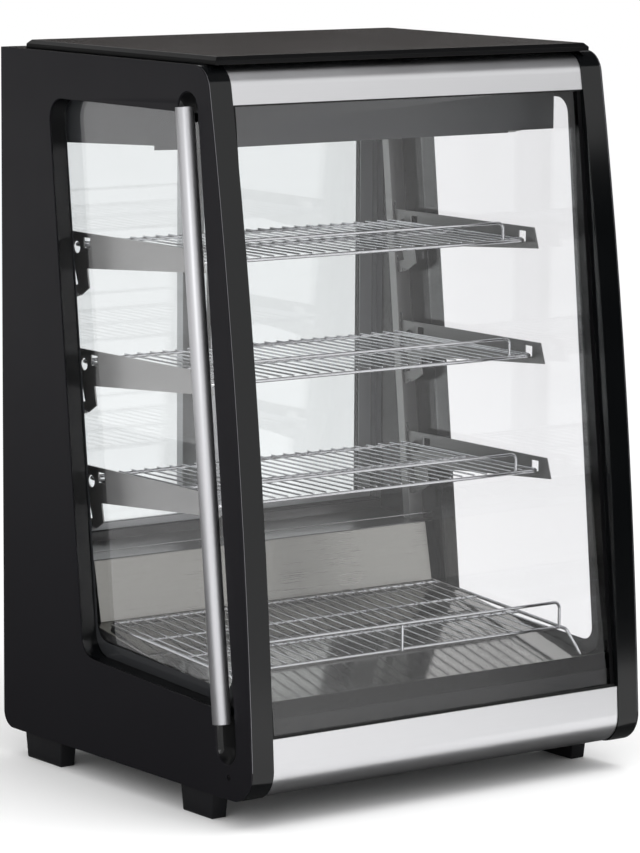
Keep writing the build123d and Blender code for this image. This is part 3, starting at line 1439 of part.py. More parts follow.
def blower_rotor():
    """Long cross-flow wheel: blades between end discs on a shaft."""
    y, z = blower_axis()
    half = BLOWER_LENGTH / 2
    disc = BLOWER_DIAMETER - 2.0
    wheel = rod((-half, 0, 0), (-half + BLOWER_DISC, 0, 0), disc)
    wheel += rod((half - BLOWER_DISC, 0, 0), (half, 0, 0), disc)
    wheel += rod((-half - SHAFT_LEFT_END, 0, 0), (half + SHAFT_RIGHT_END, 0, 0), SHAFT_DIAMETER)
    place = Pos(0, disc / 2 - BLOWER_BLADE_WIDTH / 2 - 1.0, 0) * Rot(BLOWER_BLADE_TURN, 0, 0)
    blade = place * Box(BLOWER_LENGTH - BLOWER_DISC, BLOWER_BLADE_WIDTH, BLOWER_BLADE_SHEET)
    for index in range(BLOWER_BLADES):
        wheel += Rot(index * 360 / BLOWER_BLADES, 0, 0) * blade
    return Pos(0, y, z) * wheel


def refrigerant_pipes():
    """Discharge pipe from the compressor to the condenser's end."""
    y_can = Y_COVER_FACE - COMPRESSOR_Y_INSET + math.sqrt((COMPRESSOR_DIAMETER / 2)**2 - PIPE_START_INSET**2)
    z = base_top() + PIPE_HEIGHT
    x_start = COMPRESSOR_X - PIPE_START_INSET
    x_end = CONDENSER_X + CONDENSER_WIDTH / 2 + PIPE_FROM_CONDENSER
    y_run = condenser_centre().Y - PIPE_AHEAD
    route = [(x_start, y_can + PIPE_START_GAP, z), (x_start, y_run, z), (x_end, y_run, z), (x_end, y_run, z + PIPE_RISE)]
    return [bent_wire(route, PIPE_BEND, PIPE_DIAMETER)]


def rear_cover():
    """Louvred sheet over the machine space, with cut-outs for the controls and the cord gland."""
    x = X_GLASS - GAP
    y1 = Y_COVER_FACE
    y0 = y1 - REAR_COVER_SHEET
    cover = block(-x, x, y0, y1, Z_BASE + TRIM_INSET, Z_BASE + SILL_BASE_HEIGHT - GAP)
    mouth = LOUVRE_HEIGHT - LOUVRE_SHEET
    hood = side_face([
        (0, LOUVRE_HEIGHT),
        (LOUVRE_PROUD, 0),
        (LOUVRE_PROUD, -LOUVRE_LIP),
        (LOUVRE_PROUD - LOUVRE_SHEET, -LOUVRE_LIP),
        (0, mouth),
    ])
    half = LOUVRE_WIDTH / 2
    for column in range(LOUVRE_COLUMNS):
        x_middle = CONDENSER_X + (column - (LOUVRE_COLUMNS - 1) / 2) * (LOUVRE_WIDTH + LOUVRE_COLUMN_GAP)
        for row in range(LOUVRE_ROWS):
            z = Z_BASE + LOUVRE_FIRST + row * LOUVRE_PITCH
            cover -= block(x_middle - half, x_middle + half, y0 - 1, y1 + 1, z - LOUVRE_LIP, z + mouth)
            cover += Pos(0, y1, z) * across(hood, x_middle - half, x_middle + half)
    cuts = [(CONTROLLER_X, CONTROLLER_WIDTH, CONTROLLER_HEIGHT)]
    for x_switch in (POWER_SWITCH_X, LIGHT_SWITCH_X):
        cuts.append((x_switch, switch_body_width(), switch_body_height()))
    for x_cut, width, height in cuts:
        cover -= Pos(x_cut, y1, Z_CONTROL) * Box(width + 2 * GAP, 2 * CUT_REACH, height + 2 * GAP)
    z_gland = Z_BASE + GLAND_HEIGHT
    hole = rod((GLAND_X, y0 - CUT_REACH, z_gland), (GLAND_X, y1 + CUT_REACH, z_gland), gland_neck() + 2 * GAP)
    return cover - hole


def gland_neck():
    """Diameter of the gland where it passes the sheet."""
    return GLAND_DIAMETER - GLAND_NECK_STEP


def cord_gland():
    """Moulded cord entry with a flange outside and a barb inside."""
    z = Z_BASE + GLAND_HEIGHT
    y1 = Y_COVER_FACE
    y0 = y1 - REAR_COVER_SHEET
    gland = rod((GLAND_X, y0 - GLAND_INSIDE, z), (GLAND_X, y1, z), gland_neck())
    gland += rod((GLAND_X, y1, z), (GLAND_X, y1 + GLAND_FLANGE, z), GLAND_DIAMETER)
    gland += rod((GLAND_X, y0 - GLAND_FLANGE, z), (GLAND_X, y0 - CLOSE_FIT, z), GLAND_DIAMETER)
    return gland - rod((GLAND_X, y0 - CUT_REACH, z), (GLAND_X, y1 + CUT_REACH, z), GLAND_BORE)


def button_places():
    """X positions of the controller's set, up and down buttons."""
    first = CONTROLLER_X + BUTTON_FIRST
    return [first + BUTTON_PITCH, first + 2 * BUTTON_PITCH, first]


def controller():
    """Temperature controller: body through the cover, bezel, display window recess and button wells."""
    x = CONTROLLER_X
    half_w = CONTROLLER_WIDTH / 2
    half_h = CONTROLLER_HEIGHT / 2
    edge = CONTROLLER_BEZEL
    y1 = Y_COVER_FACE
    y_face = y1 + BEZEL_THICKNESS
    z = Z_CONTROL
    bezel = block(x - half_w - edge, x + half_w + edge, y1, y_face, z - half_h - edge, z + half_h + edge)
    bezel = fillet(bezel.edges().filter_by(Axis.Y), BEZEL_CORNER)
    unit = bezel + block(x - half_w, x + half_w, y1 - CONTROLLER_DEPTH, y1, z - half_h, z + half_h)
    window_h = half_h - DISPLAY_EDGE
    x_window = x - half_w + DISPLAY_MARGIN
    unit -= block(x_window, x + DISPLAY_RIGHT, y_face - DISPLAY_DEPTH, y_face + 1, z - window_h, z + window_h)
    well_w = BUTTON_WIDTH / 2 + GAP
    well_h = BUTTON_HEIGHT / 2 + GAP
    y_well = y_face - BUTTON_STEM - BUTTON_SPACE
    for x_button in button_places():
        unit -= block(x_button - well_w, x_button + well_w, y_well, y_face + 1, z - well_h, z + well_h)
    return unit


def button(index):
    """One controller button."""
    x = button_places()[index]
    half_w = BUTTON_WIDTH / 2
    half_h = BUTTON_HEIGHT / 2
    y_face = Y_COVER_FACE + BEZEL_THICKNESS
    key = block(x - half_w, x + half_w, y_face - BUTTON_STEM, y_face + BUTTON_PROUD, Z_CONTROL - half_h, Z_CONTROL + half_h)
    return fillet(key.edges().filter_by(Axis.Y), BUTTON_CORNER)


def switch_body_width():
    """Width of a rocker switch's body."""
    return ROCKER_WIDTH + 2 * ROCKER_FRAME


def switch_body_height():
    """Height of a rocker switch's body."""
    return ROCKER_LENGTH + 2 * (ROCKER_FRAME + ROCKER_END_PLAY)


def rocker_axis():
    """Depth of the rockers' pivots."""
    return Y_COVER_FACE - ROCKER_PIVOT_DEPTH


def switch_housing(x):
    """Switch body with flange, open well and pivot pins."""
    y1 = Y_COVER_FACE
    z = Z_CONTROL
    half_w = switch_body_width() / 2
    half_h = switch_body_height() / 2
    edge = SWITCH_FLANGE
    flange = block(x - half_w - edge, x + half_w + edge, y1, y1 + BEZEL_THICKNESS, z - half_h - edge, z + half_h + edge)
    flange = fillet(flange.edges().filter_by(Axis.Y), SWITCH_CORNER)
    housing = flange + block(x - half_w, x + half_w, y1 - SWITCH_DEPTH, y1, z - half_h, z + half_h)
    well_w = ROCKER_WIDTH / 2 + GAP
    well_h = half_h - ROCKER_FRAME
    y_well = y1 - SWITCH_DEPTH + ROCKER_FRAME
    housing -= block(x - well_w, x + well_w, y_well, y1 + BEZEL_THICKNESS + 1, z - well_h, z + well_h)
    y = rocker_axis()
    for side in (-1, 1):
        wall = x + side * (well_w + 0.5)
        housing += rod((wall, y, z), (wall - side * (ROCKER_PIN - 0.9), y, z), ROCKER_PIN)
    return housing


def rocker(x):
    """Rocker with two pressed-in faces, on its pivot pins."""
    y = rocker_axis()
    z = Z_CONTROL
    reach = Y_COVER_FACE + BEZEL_THICKNESS - y
    half = ROCKER_LENGTH / 2
    face = side_face([
        (reach + ROCKER_PROUD, half),
        (reach + ROCKER_HOLLOW, 0),
        (reach + ROCKER_PROUD, -half),
        (reach - ROCKER_SIDE, -half),
        (-ROCKER_TAIL, -ROCKER_TAIL_HALF),
        (-ROCKER_TAIL, ROCKER_TAIL_HALF),
        (reach - ROCKER_SIDE, half),
    ])
    key = Pos(0, y, z) * across(face, x - ROCKER_WIDTH / 2, x + ROCKER_WIDTH / 2)
    for side in (-1, 1):
        edge = x + side * ROCKER_WIDTH / 2
        key -= rod((edge + side, y, z), (edge - side * 2.2, y, z), ROCKER_PIN + 2 * SHAFT_CLEARANCE)
    return key


def screws():
    """Screws that show: low on each side panel, and two on each tube."""
    y, z = plug_place()
    cap = rod((X_COVER, y, z), (X_OUT - SCREW_SUNK, y, z), PLUG_DIAMETER - 2 * GAP)
    cap += rod((X_COVER - SCREW_LENGTH + 1, y, z), (X_COVER, y, z), SCREW_SHANK - GAP)
    group = [cap, mirrored(cap)]
    for place, outward in tube_screw_seats():
        head = rod(place + outward * WELD_GAP, place + outward * TUBE_SCREW_HEAD, TUBE_SCREW_DIAMETER)
        screw = head + rod(place - outward * (TUBE_SCREW_LENGTH - 1), place + outward, TUBE_SCREW_SHANK)
        group += [screw, mirrored(screw)]
    return group


def save(name, shape, shift):
    """Writes one node's solids, moved so that the case is centred on the origin."""
    pieces = shape if isinstance(shape, list) else [shape]
    solids = []
    for piece in pieces:
        solids += [shift * solid for solid in piece.solids()]
    export_step(Compound(children=solids) if len(solids) > 1 else solids[0], f"parts/{name}.step")


def main():
    os.makedirs("parts", exist_ok=True)
    nodes = {}
    for name, maker in (
        ("side_cover", side_cover),
        ("side_frame", side_frame),
        ("side_glass", side_glass),
        ("corner_tube", corner_tube),
        ("upright", upright),
    ):
        right = maker()
        nodes[f"{name}_right"] = right
        nodes[f"{name}_left"] = mirrored(right)
    holders = tube_holders()
    nodes["tube_holders"] = holders + [mirrored(piece) for piece in holders]
    rails = [fixing_rail_top(), fixing_rail_bottom()]
    nodes["fixing_rails"] = rails + [mirrored(piece) for piece in rails]
    jamb = door_jamb()
    nodes["door_jambs"] = [jamb, mirrored(jamb)]
    nodes["lid_panel"] = lid_panel()
    nodes["ceiling_box"] = ceiling_box()
    nodes["lamp_cover"] = lamp_cover()
    nodes["lamp_strip"] = lamp_strip()
    nodes["top_trim"] = top_trim()
    nodes["bottom_trim"] = bottom_trim()
    nodes["front_glass"] = front_glass()
    nodes["front_glass_seals"] = front_glass_seals()
    nodes["base_pan"] = base_pan()
    nodes["floor_insulation"] = floor_insulation()
    nodes["floor_deck"] = floor_deck()
    nodes["duct_panel"] = duct_panel()
    nodes["ledge_panel"] = ledge_panel()
    nodes["rear_header"] = rear_header()
    nodes["rear_sill"] = rear_sill()
    nodes["rear_cover"] = rear_cover()
    for level, word in enumerate(("top", "middle", "bottom")):
        piece = bracket(level)
        nodes[f"brackets_{word}"] = [piece, mirrored(piece)]
        nodes[f"wire_shelf_{word}"] = wire_shelf(level)
    nodes["bottom_rack"] = bottom_rack()
    nodes["feet"] = feet()
    for right, word in ((False, "left"), (True, "right")):
        nodes[f"door_{word}_frame"] = door_frame(right)
        nodes[f"door_{word}_panes"] = door_panes(right)
        nodes[f"door_{word}_pull"] = door_pull(right)
    nodes["compressor"] = compressor()
    nodes["condenser"] = condenser()
    nodes["condenser_fan_housing"] = condenser_fan_housing()
    nodes["condenser_fan_rotor"] = condenser_fan_rotor()
    nodes["evaporator"] = evaporator()
    nodes["blower_housing"] = blower_housing()
    nodes["blower_rotor"] = blower_rotor()
    nodes["refrigerant_pipes"] = refrigerant_pipes()
    nodes["controller"] = controller()
    for index, word in enumerate(("set", "up", "down")):
        nodes[f"button_{word}"] = button(index)
    nodes["switch_housings"] = [switch_housing(POWER_SWITCH_X), switch_housing(LIGHT_SWITCH_X)]
    nodes["power_rocker"] = rocker(POWER_SWITCH_X)
    nodes["light_rocker"] = rocker(LIGHT_SWITCH_X)
    nodes["cord_gland"] = cord_gland()
    nodes["screws"] = screws()
    shift = Pos(0, -panel_outline().bounding_box().center().X, 0)
    for name, shape in nodes.items():
        save(name, shape, shift)
    print(len(nodes), "nodes")


main()
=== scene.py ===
# %% [markdown]
# A refrigerated display counter, dressed for a studio picture. The solids come from a packed
# CAD model and stay where they are. This lesson gives them their finishes, rounds their edges,
# and models the pieces whose looks need more than a plain solid: printed borders, bright edges,
# tubes, feet and screws. Lengths are in metres, except where a name ends in mm.

# %% Load the model
import json
import math

import bmesh
import bpy
from mathutils import Matrix, Vector


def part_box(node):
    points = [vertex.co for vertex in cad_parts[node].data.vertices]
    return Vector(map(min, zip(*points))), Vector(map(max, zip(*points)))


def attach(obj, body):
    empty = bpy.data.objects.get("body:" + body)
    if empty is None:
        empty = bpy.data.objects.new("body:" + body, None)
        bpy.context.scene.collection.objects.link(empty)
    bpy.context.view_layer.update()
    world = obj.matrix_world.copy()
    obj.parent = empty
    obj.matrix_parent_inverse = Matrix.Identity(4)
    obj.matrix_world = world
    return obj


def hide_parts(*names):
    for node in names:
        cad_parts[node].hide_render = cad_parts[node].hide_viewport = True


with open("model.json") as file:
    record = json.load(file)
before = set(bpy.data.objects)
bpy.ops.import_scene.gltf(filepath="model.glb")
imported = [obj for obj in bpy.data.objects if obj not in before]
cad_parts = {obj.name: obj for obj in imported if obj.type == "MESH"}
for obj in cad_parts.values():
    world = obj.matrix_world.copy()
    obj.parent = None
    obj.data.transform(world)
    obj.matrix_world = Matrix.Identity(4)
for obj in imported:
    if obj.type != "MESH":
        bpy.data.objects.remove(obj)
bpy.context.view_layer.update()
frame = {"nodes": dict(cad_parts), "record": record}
nodes = frame["nodes"]
record = frame["record"]
body_of_node = {node: body for body, held in record["behaviour"]["bodies"].items() for node in held}

# %% [markdown]
# The camera stands where the photographer's stood: in front of the left corner, a little above
# the lid, with a long lens. Its place and turn were worked out from the straight edges of the
# case. The roll is a third of a degree. A camera looks along its own minus Z, so its turn is a
# matrix whose columns are the picture's right, its up, and the direction backwards.

# %% Camera
IMAGE_LONG_SIDE = 853
FOCAL_PIXELS = 4198.9
CAMERA_PLACE = Vector((-3.2244, -4.3585, 1.2558))
YAW, PITCH, ROLL = math.radians(36.485), math.radians(8.493), math.radians(0.369)

ahead = Vector((math.sin(YAW), math.cos(YAW), 0.0))
level = Vector((math.cos(YAW), -math.sin(YAW), 0.0))
forward = ahead * math.cos(PITCH) - Vector((0.0, 0.0, math.sin(PITCH)))
upright = level.cross(forward)
right = level * math.cos(ROLL) + upright * math.sin(ROLL)
up = upright * math.cos(ROLL) - level * math.sin(ROLL)

lens = bpy.data.cameras.new("photo_camera")
lens.sensor_width = 36.0
lens.lens = FOCAL_PIXELS / IMAGE_LONG_SIDE * lens.sensor_width
lens.clip_end = 200.0
camera = bpy.data.objects.new("photo_camera", lens)
turn = Matrix((right, up, -forward)).transposed()
camera.matrix_world = Matrix.Translation(CAMERA_PLACE) @ turn.to_4x4()
bpy.context.scene.collection.objects.link(camera)
bpy.context.scene.camera = camera
print("camera", camera.location, "lens", round(lens.lens, 1), "mm")

# %% [markdown]
# A material is a small net of nodes. One function adds a node, sets it and links it. Colours are
# written as they look on a screen, as sRGB hex values, and one function turns them to the linear
# light that the renderer works in.


# %% Helpers for materials
def linear(hex_colour):
    """Linear RGBA from an sRGB hex colour."""
    channels = [int(hex_colour[i : i + 2], 16) / 255 for i in (1, 3, 5)]
    return tuple(c / 12.92 if c <= 0.04045 else ((c + 0.055) / 1.055) ** 2.4 for c in channels) + (1.0,)


def add(tree, kind, inputs=None, **settings):
    """Adds a node, sets its properties and its sockets, and links a socket given as (node, output)."""
    made = tree.nodes.new(kind)
    for name, value in settings.items():
        setattr(made, name, value)
    for socket, value in (inputs or {}).items():
        if isinstance(value, tuple) and len(value) == 2 and hasattr(value[0], "outputs"):
            tree.links.new(value[0].outputs[value[1]], made.inputs[socket])
        else:
            made.inputs[socket].default_value = value
    return made


def new_material(name):
    """An empty material and its node tree."""
    material = bpy.data.materials.new(name)
    material.use_nodes = True
    material.node_tree.nodes.clear()
    return material, material.node_tree


def finish_with(tree, shader):
    """Sends a shader to the material's output."""
    add(tree, "ShaderNodeOutputMaterial", {"Surface": (shader, 0)})


# %% [markdown]
# Most finishes here share one build: a base colour, a grain that follows the piece's own
# coordinates, and that grain's effect on the colour, the roughness and the height of the surface.
# The grain's size is given in millimetres along X, Y and Z, so a brushed sheet has a grain of
# 60 mm along the brush and a fraction of a millimetre across. Finer grain than the picture can
# show is drawn as coarse as a pixel needs, about 0.6 mm. A second, slow noise varies each large
# face a little, as rolling, spraying and handling do.

# %% Grained finishes
MM_IN_METRE = 1000.0
BLOTCH_MM = 90.0
NOISE_LOW, NOISE_HIGH = 0.6, 1.4
LEAST_ROUGHNESS = 0.02


def grained(name, colour, roughness, metallic=0.0, specular=0.5, grain_mm=(1.0, 1.0, 1.0), spread=0.05,
            tint=0.06, bump_mm=0.02, **sockets):
    """A Principled finish with fine grain and slow, large variation, both from real sizes."""
    material, tree = new_material(name)
    place = add(tree, "ShaderNodeTexCoord")
    stretched = add(tree, "ShaderNodeMapping", {
        "Vector": (place, "Object"), "Scale": tuple(MM_IN_METRE / size for size in grain_mm),
    })
    grain = add(tree, "ShaderNodeTexNoise", {"Vector": (stretched, 0), "Scale": 1.0, "Detail": 2.0})
    blotch = add(tree, "ShaderNodeTexNoise", {
        "Vector": (place, "Object"), "Scale": MM_IN_METRE / BLOTCH_MM,
    })
    both = add(tree, "ShaderNodeMath", {0: (grain, 0), 1: (blotch, 0)}, operation="ADD")
    rough = add(tree, "ShaderNodeMapRange", {
        "Value": (both, 0), "From Min": NOISE_LOW, "From Max": NOISE_HIGH,
        "To Min": max(roughness - spread, LEAST_ROUGHNESS), "To Max": roughness + spread,
    })
    base = linear(colour)[:3]
    darker = tuple(c * (1 - tint) for c in base) + (1.0,)
    lighter = tuple(min(c * (1 + tint), 1.0) for c in base) + (1.0,)
    shade = add(tree, "ShaderNodeMapRange", {
        "Value": (both, 0), "From Min": NOISE_LOW, "From Max": NOISE_HIGH,
    })
    tone = add(tree, "ShaderNodeMix", {0: (shade, 0), 6: darker, 7: lighter}, data_type="RGBA")
    relief = add(tree, "ShaderNodeBump", {
        "Height": (grain, 0), "Strength": 1.0, "Distance": bump_mm / MM_IN_METRE,
    })
    shader = add(tree, "ShaderNodeBsdfPrincipled", {
        "Base Color": (tone, 2), "Roughness": (rough, 0), "Normal": (relief, 0), "Metallic": metallic,
        "Specular IOR Level": specular, **sockets,
    })
    finish_with(tree, shader)
    return material


# %% [markdown]
# The black finishes differ most in their gloss. Black lacquer and plastic show the studio more
# weakly in the picture than the usual specular level of 0.5 gives, so each has a lower one that
# was matched to the picture.

# %% Black finishes
# Powder coat on sheet steel: a soft sheen broken by orange peel of about a millimetre.
powder_black = grained("satin_black_powder_coat", "#131216", 0.45, specular=0.14,
                       grain_mm=(0.9, 0.9, 0.9), bump_mm=0.006)
# ABS moulded in a polished tool: darker and glossier than the covers, so its front lip reflects.
abs_black = grained("moulded_black_abs", "#070809", 0.14, specular=0.38, grain_mm=(0.7, 0.7, 0.7),
                    bump_mm=0.001, spread=0.03)
# Laminated sheet of the lid: gloss with faint wiping marks, a warm black in the picture.
lid_black = grained("gloss_black_lid", "#201a18", 0.22, specular=0.30, grain_mm=(8.0, 1.5, 8.0),
                    bump_mm=0.001, spread=0.03)
# Dull black enamel, which hides the shape of what it covers; in the tube grooves it is painted shade.
dark_enamel_and_painted_shade = grained("black_enamel_and_painted_shade", "#0b0b0c", 0.35, specular=0.12, bump_mm=0.0)
# Ceramic print fused to glass: as glossy as the glass itself.
glass_print = grained("fused_ceramic_print", "#2e2f31", 0.06, bump_mm=0.0, spread=0.02)
# Moulded foot: a dull plastic with a fine texture.
foot_plastic = grained("black_moulded_foot", "#1d1d1f", 0.45, specular=0.14, grain_mm=(0.9, 0.9, 0.9),
                       bump_mm=0.01)
print(len(bpy.data.materials), "black finishes")

# %% [markdown]
# The metals are aluminium, stainless steel and plated wire. A metal's look is its colour, its
# roughness and the direction of its brushing, and its colour stands in its reflections. The
# picture shows the ledge and the right-hand brackets darker than the rest of the stainless sheet,
# so they have tones of their own, which were chosen. The right-hand brackets are the same steel
# as the left ones, and their darker tone is painted shade.

# %% Bright metals
# Anodised trims, brushed along the case: streaks along the width draw the highlights out.
trim_aluminium = grained("brushed_anodised_trim", "#d6d6d8", 0.30, metallic=1.0,
                         grain_mm=(120.0, 0.6, 0.6), bump_mm=0.0008, spread=0.02, tint=0.02)
# Anodised tube, brushed along its length: a softer satin than the trims.
tube_aluminium = grained("satin_anodised_tube", "#cbcbce", 0.44, metallic=1.0,
                         grain_mm=(0.6, 8.0, 60.0), bump_mm=0.001, spread=0.03, tint=0.03)
# Anodised door profiles: a grey satin, less metallic in the picture than the trims.
door_aluminium = grained("satin_grey_aluminium", "#d0d2d4", 0.40, metallic=0.6,
                         grain_mm=(0.7, 0.7, 50.0), bump_mm=0.0008, spread=0.02, tint=0.02)
# Stainless sheet of uprights and brackets: the rolling grain runs from front to back.
stainless = grained("rolled_stainless_sheet", "#a3a3a2", 0.34, metallic=0.78, grain_mm=(0.8, 40.0, 0.8),
                    bump_mm=0.001, spread=0.03, tint=0.03)
# A darker copy of the same stainless sheet: painted shade on the right-hand brackets.
painted_shade_stainless = grained("stainless_sheet_painted_shade", "#868685", 0.34, metallic=0.78,
                           grain_mm=(0.8, 40.0, 0.8), bump_mm=0.001, spread=0.03, tint=0.03)
# Bright-rolled floor: almost a mirror.
deck_stainless = grained("bright_stainless_floor", "#8a8986", 0.09, metallic=1.0,
                         grain_mm=(60.0, 1.0, 1.0), bump_mm=0.0, spread=0.015, tint=0.02)
# Duct panel, brushed along its width: broad, cloudy highlights.
duct_stainless = grained("brushed_stainless_duct", "#a5a49f", 0.32, metallic=1.0,
                         grain_mm=(80.0, 0.8, 0.8), bump_mm=0.004, spread=0.07, tint=0.08)
# Ledge: brushed as the duct panel is, in a darker tone.
ledge_stainless = grained("darker_stainless_ledge", "#6c6c6c", 0.30, metallic=1.0,
                          grain_mm=(60.0, 0.8, 0.8), bump_mm=0.0005, spread=0.02, tint=0.02)
# Plated steel wire: a hard shine, slightly wavy from drawing. Its dark edge tint paints dark
# reflections on the flanks of each wire.
plated_wire = grained("bright_plated_wire", "#d4d5d7", 0.12, metallic=1.0, grain_mm=(3.0, 3.0, 3.0),
                      bump_mm=0.002, spread=0.03, **{"Specular Tint": linear("#30323a")})
# Plated screws, and the bare edge of a painted cover: small, bright and plain.
screw_steel = grained("plated_screw_steel", "#9fa0a0", 0.28, metallic=1.0)
bare_edge = grained("bare_cover_edge", "#8a8a8e", 0.35, metallic=1.0, bump_mm=0.0)
print(len(bpy.data.materials), "finishes so far")

# %% [markdown]
# The other finishes are quiet ones: paint, rubber and moulded plastic. Many sit on pieces that
# show only from behind or through the louvres, so typical values are enough for them.

# %% Paints, plastics and rubber
# Sprayed sheet of the ceiling tray, and dark paint on the tracks and rails: even and half dull.
grey_paint = grained("grey_painted_sheet", "#3b3d40", 0.38, bump_mm=0.01)
dark_steel = grained("dark_painted_steel", "#161618", 0.45, bump_mm=0.01)
# Moulded jamb strips: plain grey plastic.
jamb_grey = grained("grey_moulded_jamb", "#7c7e80", 0.45, bump_mm=0.008)
# Extruded seals and the cord gland: dull black rubber.
seal_rubber = grained("black_seal_rubber", "#101010", 0.62, grain_mm=(1.2, 1.2, 1.2))
gland_rubber = grained("black_cable_rubber", "#0c0c0c", 0.55)
# Controls: textured housings, soft keys and glossy rockers.
control_plastic = grained("textured_black_plastic", "#101113", 0.48, grain_mm=(0.8, 0.8, 0.8))
button_plastic = grained("soft_grey_keys", "#7d8085", 0.50, grain_mm=(0.8, 0.8, 0.8), bump_mm=0.01)
rocker_plastic = grained("gloss_black_rocker", "#0a0a0a", 0.20, grain_mm=(1.5, 1.5, 1.5), bump_mm=0.004)
# Lamp: a frosted cover that lets some light through, over a white board.
diffuser = grained("frosted_lamp_cover", "#dfe0dd", 0.55, grain_mm=(1.2, 1.2, 1.2), bump_mm=0.01,
                   **{"Transmission Weight": 0.3})
board_white = grained("white_lamp_board", "#d8d8d2", 0.50, grain_mm=(2.0, 2.0, 2.0), bump_mm=0.004)
print(len(bpy.data.materials), "finishes so far")

# %% Finishes of the machinery
# Galvanised sheet has large grey crystals, foam a skin with shallow pits, enamel a thick gloss.
zinc = grained("zinc_coated_sheet", "#8f9294", 0.42, metallic=1.0, grain_mm=(12.0, 12.0, 12.0), tint=0.14)
foam = grained("dark_skinned_foam", "#1c1c1e", 0.70, grain_mm=(1.6, 1.6, 1.6), bump_mm=0.08)
enamel_black = grained("black_enamelled_can", "#0a0a0b", 0.25, grain_mm=(1.5, 1.5, 1.5), bump_mm=0.01)
# Fins are bare aluminium, and the pipes are copper that has begun to brown in places.
fin_aluminium = grained("bare_aluminium_fins", "#a8aaac", 0.40, metallic=1.0, grain_mm=(0.8, 0.8, 6.0))
copper = grained("bare_copper_pipe", "#b9704c", 0.30, metallic=1.0, grain_mm=(4.0, 4.0, 4.0), tint=0.2)
print(len(bpy.data.materials), "finishes so far")

# %% [markdown]
# Toughened float glass is clear, with a faint green tint that only shows at its edges, because
# the light there has come a long way through it. These panes are thin, so a base colour close to
# white is enough and no volume is needed. Wiping leaves marks, which show as slightly less gloss.

# %% Glass
WIPING_SCALE = (4.0, 4.0, 14.0)
DULLEST_MARK = 0.003


def float_glass(name, colour):
    """Clear glass with faint wiping marks in its gloss."""
    material, tree = new_material(name)
    place = add(tree, "ShaderNodeTexCoord")
    wiped = add(tree, "ShaderNodeMapping", {"Vector": (place, "Object"), "Scale": WIPING_SCALE})
    marks = add(tree, "ShaderNodeTexNoise", {"Vector": (wiped, 0), "Scale": 1.0, "Detail": 3.0})
    gloss = add(tree, "ShaderNodeMapRange", {
        "Value": (marks, 0), "From Min": 0.5, "From Max": 0.8, "To Min": 0.0, "To Max": DULLEST_MARK,
    })
    shader = add(tree, "ShaderNodeBsdfPrincipled", {
        "Base Color": linear(colour), "Roughness": (gloss, 0), "IOR": 1.5, "Transmission Weight": 1.0,
    })
    finish_with(tree, shader)
    return material


clear_glass = float_glass("toughened_float_glass", "#f8f8f9")
door_glass = float_glass("insulating_door_glass", "#f6f8f8")
print(len(bpy.data.materials), "materials in all")

# %% [markdown]
# Folded sheet, mouldings and extrusions all have small rounded edges that catch the light. A CAD
# solid has none, so each piece that shows gets a dressed copy: the copy's loose triangles are
# merged, flat faces are joined again, edges sharper than 25 degrees are rounded with a Bevel
# modifier, and the rest is shaded smooth. A few copies are reshaped first, as the next step says.

# %% Dressed copies
SHARP = math.radians(25.0)
FLAT = math.radians(0.4)
MERGE = 2e-6


def place_piece(obj, body, material, replaced=()):
    """Puts a new piece in the scene on its body, with its finish."""
    bpy.context.scene.collection.objects.link(obj)
    obj.data.materials.clear()
    obj.data.materials.append(material)
    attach(obj, body)
    if replaced:
        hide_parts(*replaced)
    return obj


def dressed(node, name, material, edge_mm):
    """A copy of a CAD node with rounded edges and smooth curves, in the node's place."""
    mesh = nodes[node].data.copy()
    mesh.name = name
    bm = bmesh.new()
    bm.from_mesh(mesh)
    bmesh.ops.remove_doubles(bm, verts=bm.verts, dist=MERGE)
    bmesh.ops.dissolve_limit(bm, angle_limit=FLAT, verts=bm.verts, edges=bm.edges)
    if node in RESHAPED:
        RESHAPED[node](bm)
    for face in bm.faces:
        face.smooth = True
    bm.to_mesh(mesh)
    bm.free()
    mesh.set_sharp_from_angle(angle=SHARP)
    obj = bpy.data.objects.new(name, mesh)
    place_piece(obj, body_of_node[node], material, (node,))
    if edge_mm:
        bevel = obj.modifiers.new("rounded_edges", "BEVEL")
        bevel.width = edge_mm / MM_IN_METRE
        bevel.segments = 2
        bevel.limit_method = "ANGLE"
        bevel.angle_limit = SHARP
        bevel.use_clamp_overlap = True
        bevel.harden_normals = True
    return obj


# %% [markdown]
# Two heights read from the picture differ a little from the solids. The ceiling tray's underside
# rises towards the front, and the rear track sits higher, above the doors' top rails. Their copies
# are made from the solids' points, which are moved: the tray's underside is tilted about its
# front edge, and everything above the doors' rails is raised by the same height. The tray's lamp
# part ends short of the right wall, so the tray is cut there first, with two planes close together
# that leave a steep end between them.

# %% Reshaping of the tray, the track and the doors
TRAY_FRONT = -0.1247
MAIN_EDGE, MAIN_SLOPE = 0.8322, 0.0475
LAMP_EDGE, LAMP_SLOPE = 0.8297, 0.0836
CAD_MAIN, CAD_LAMP, SHEET = 0.828, 0.821, 0.0014
LAMP_END, LAMP_END_WIDTH = 0.205, 0.0003
DOOR_RAIL, DOOR_RAIL_REACH, DOOR_RAISE = 0.780, 0.050, 0.019
ON_PLANE = 1e-6


def cut_across(bm, place, normal):
    """Cuts a whole bmesh along a plane and keeps both sides."""
    bmesh.ops.bisect_plane(bm, geom=bm.faces[:] + bm.edges[:] + bm.verts[:], dist=ON_PLANE,
                           plane_co=place, plane_no=normal)


def lift(edge, slope, depth, cad_height):
    """How far a point of a sloping underside rises above its height in the solid."""
    return edge - slope * (depth - TRAY_FRONT) - cad_height


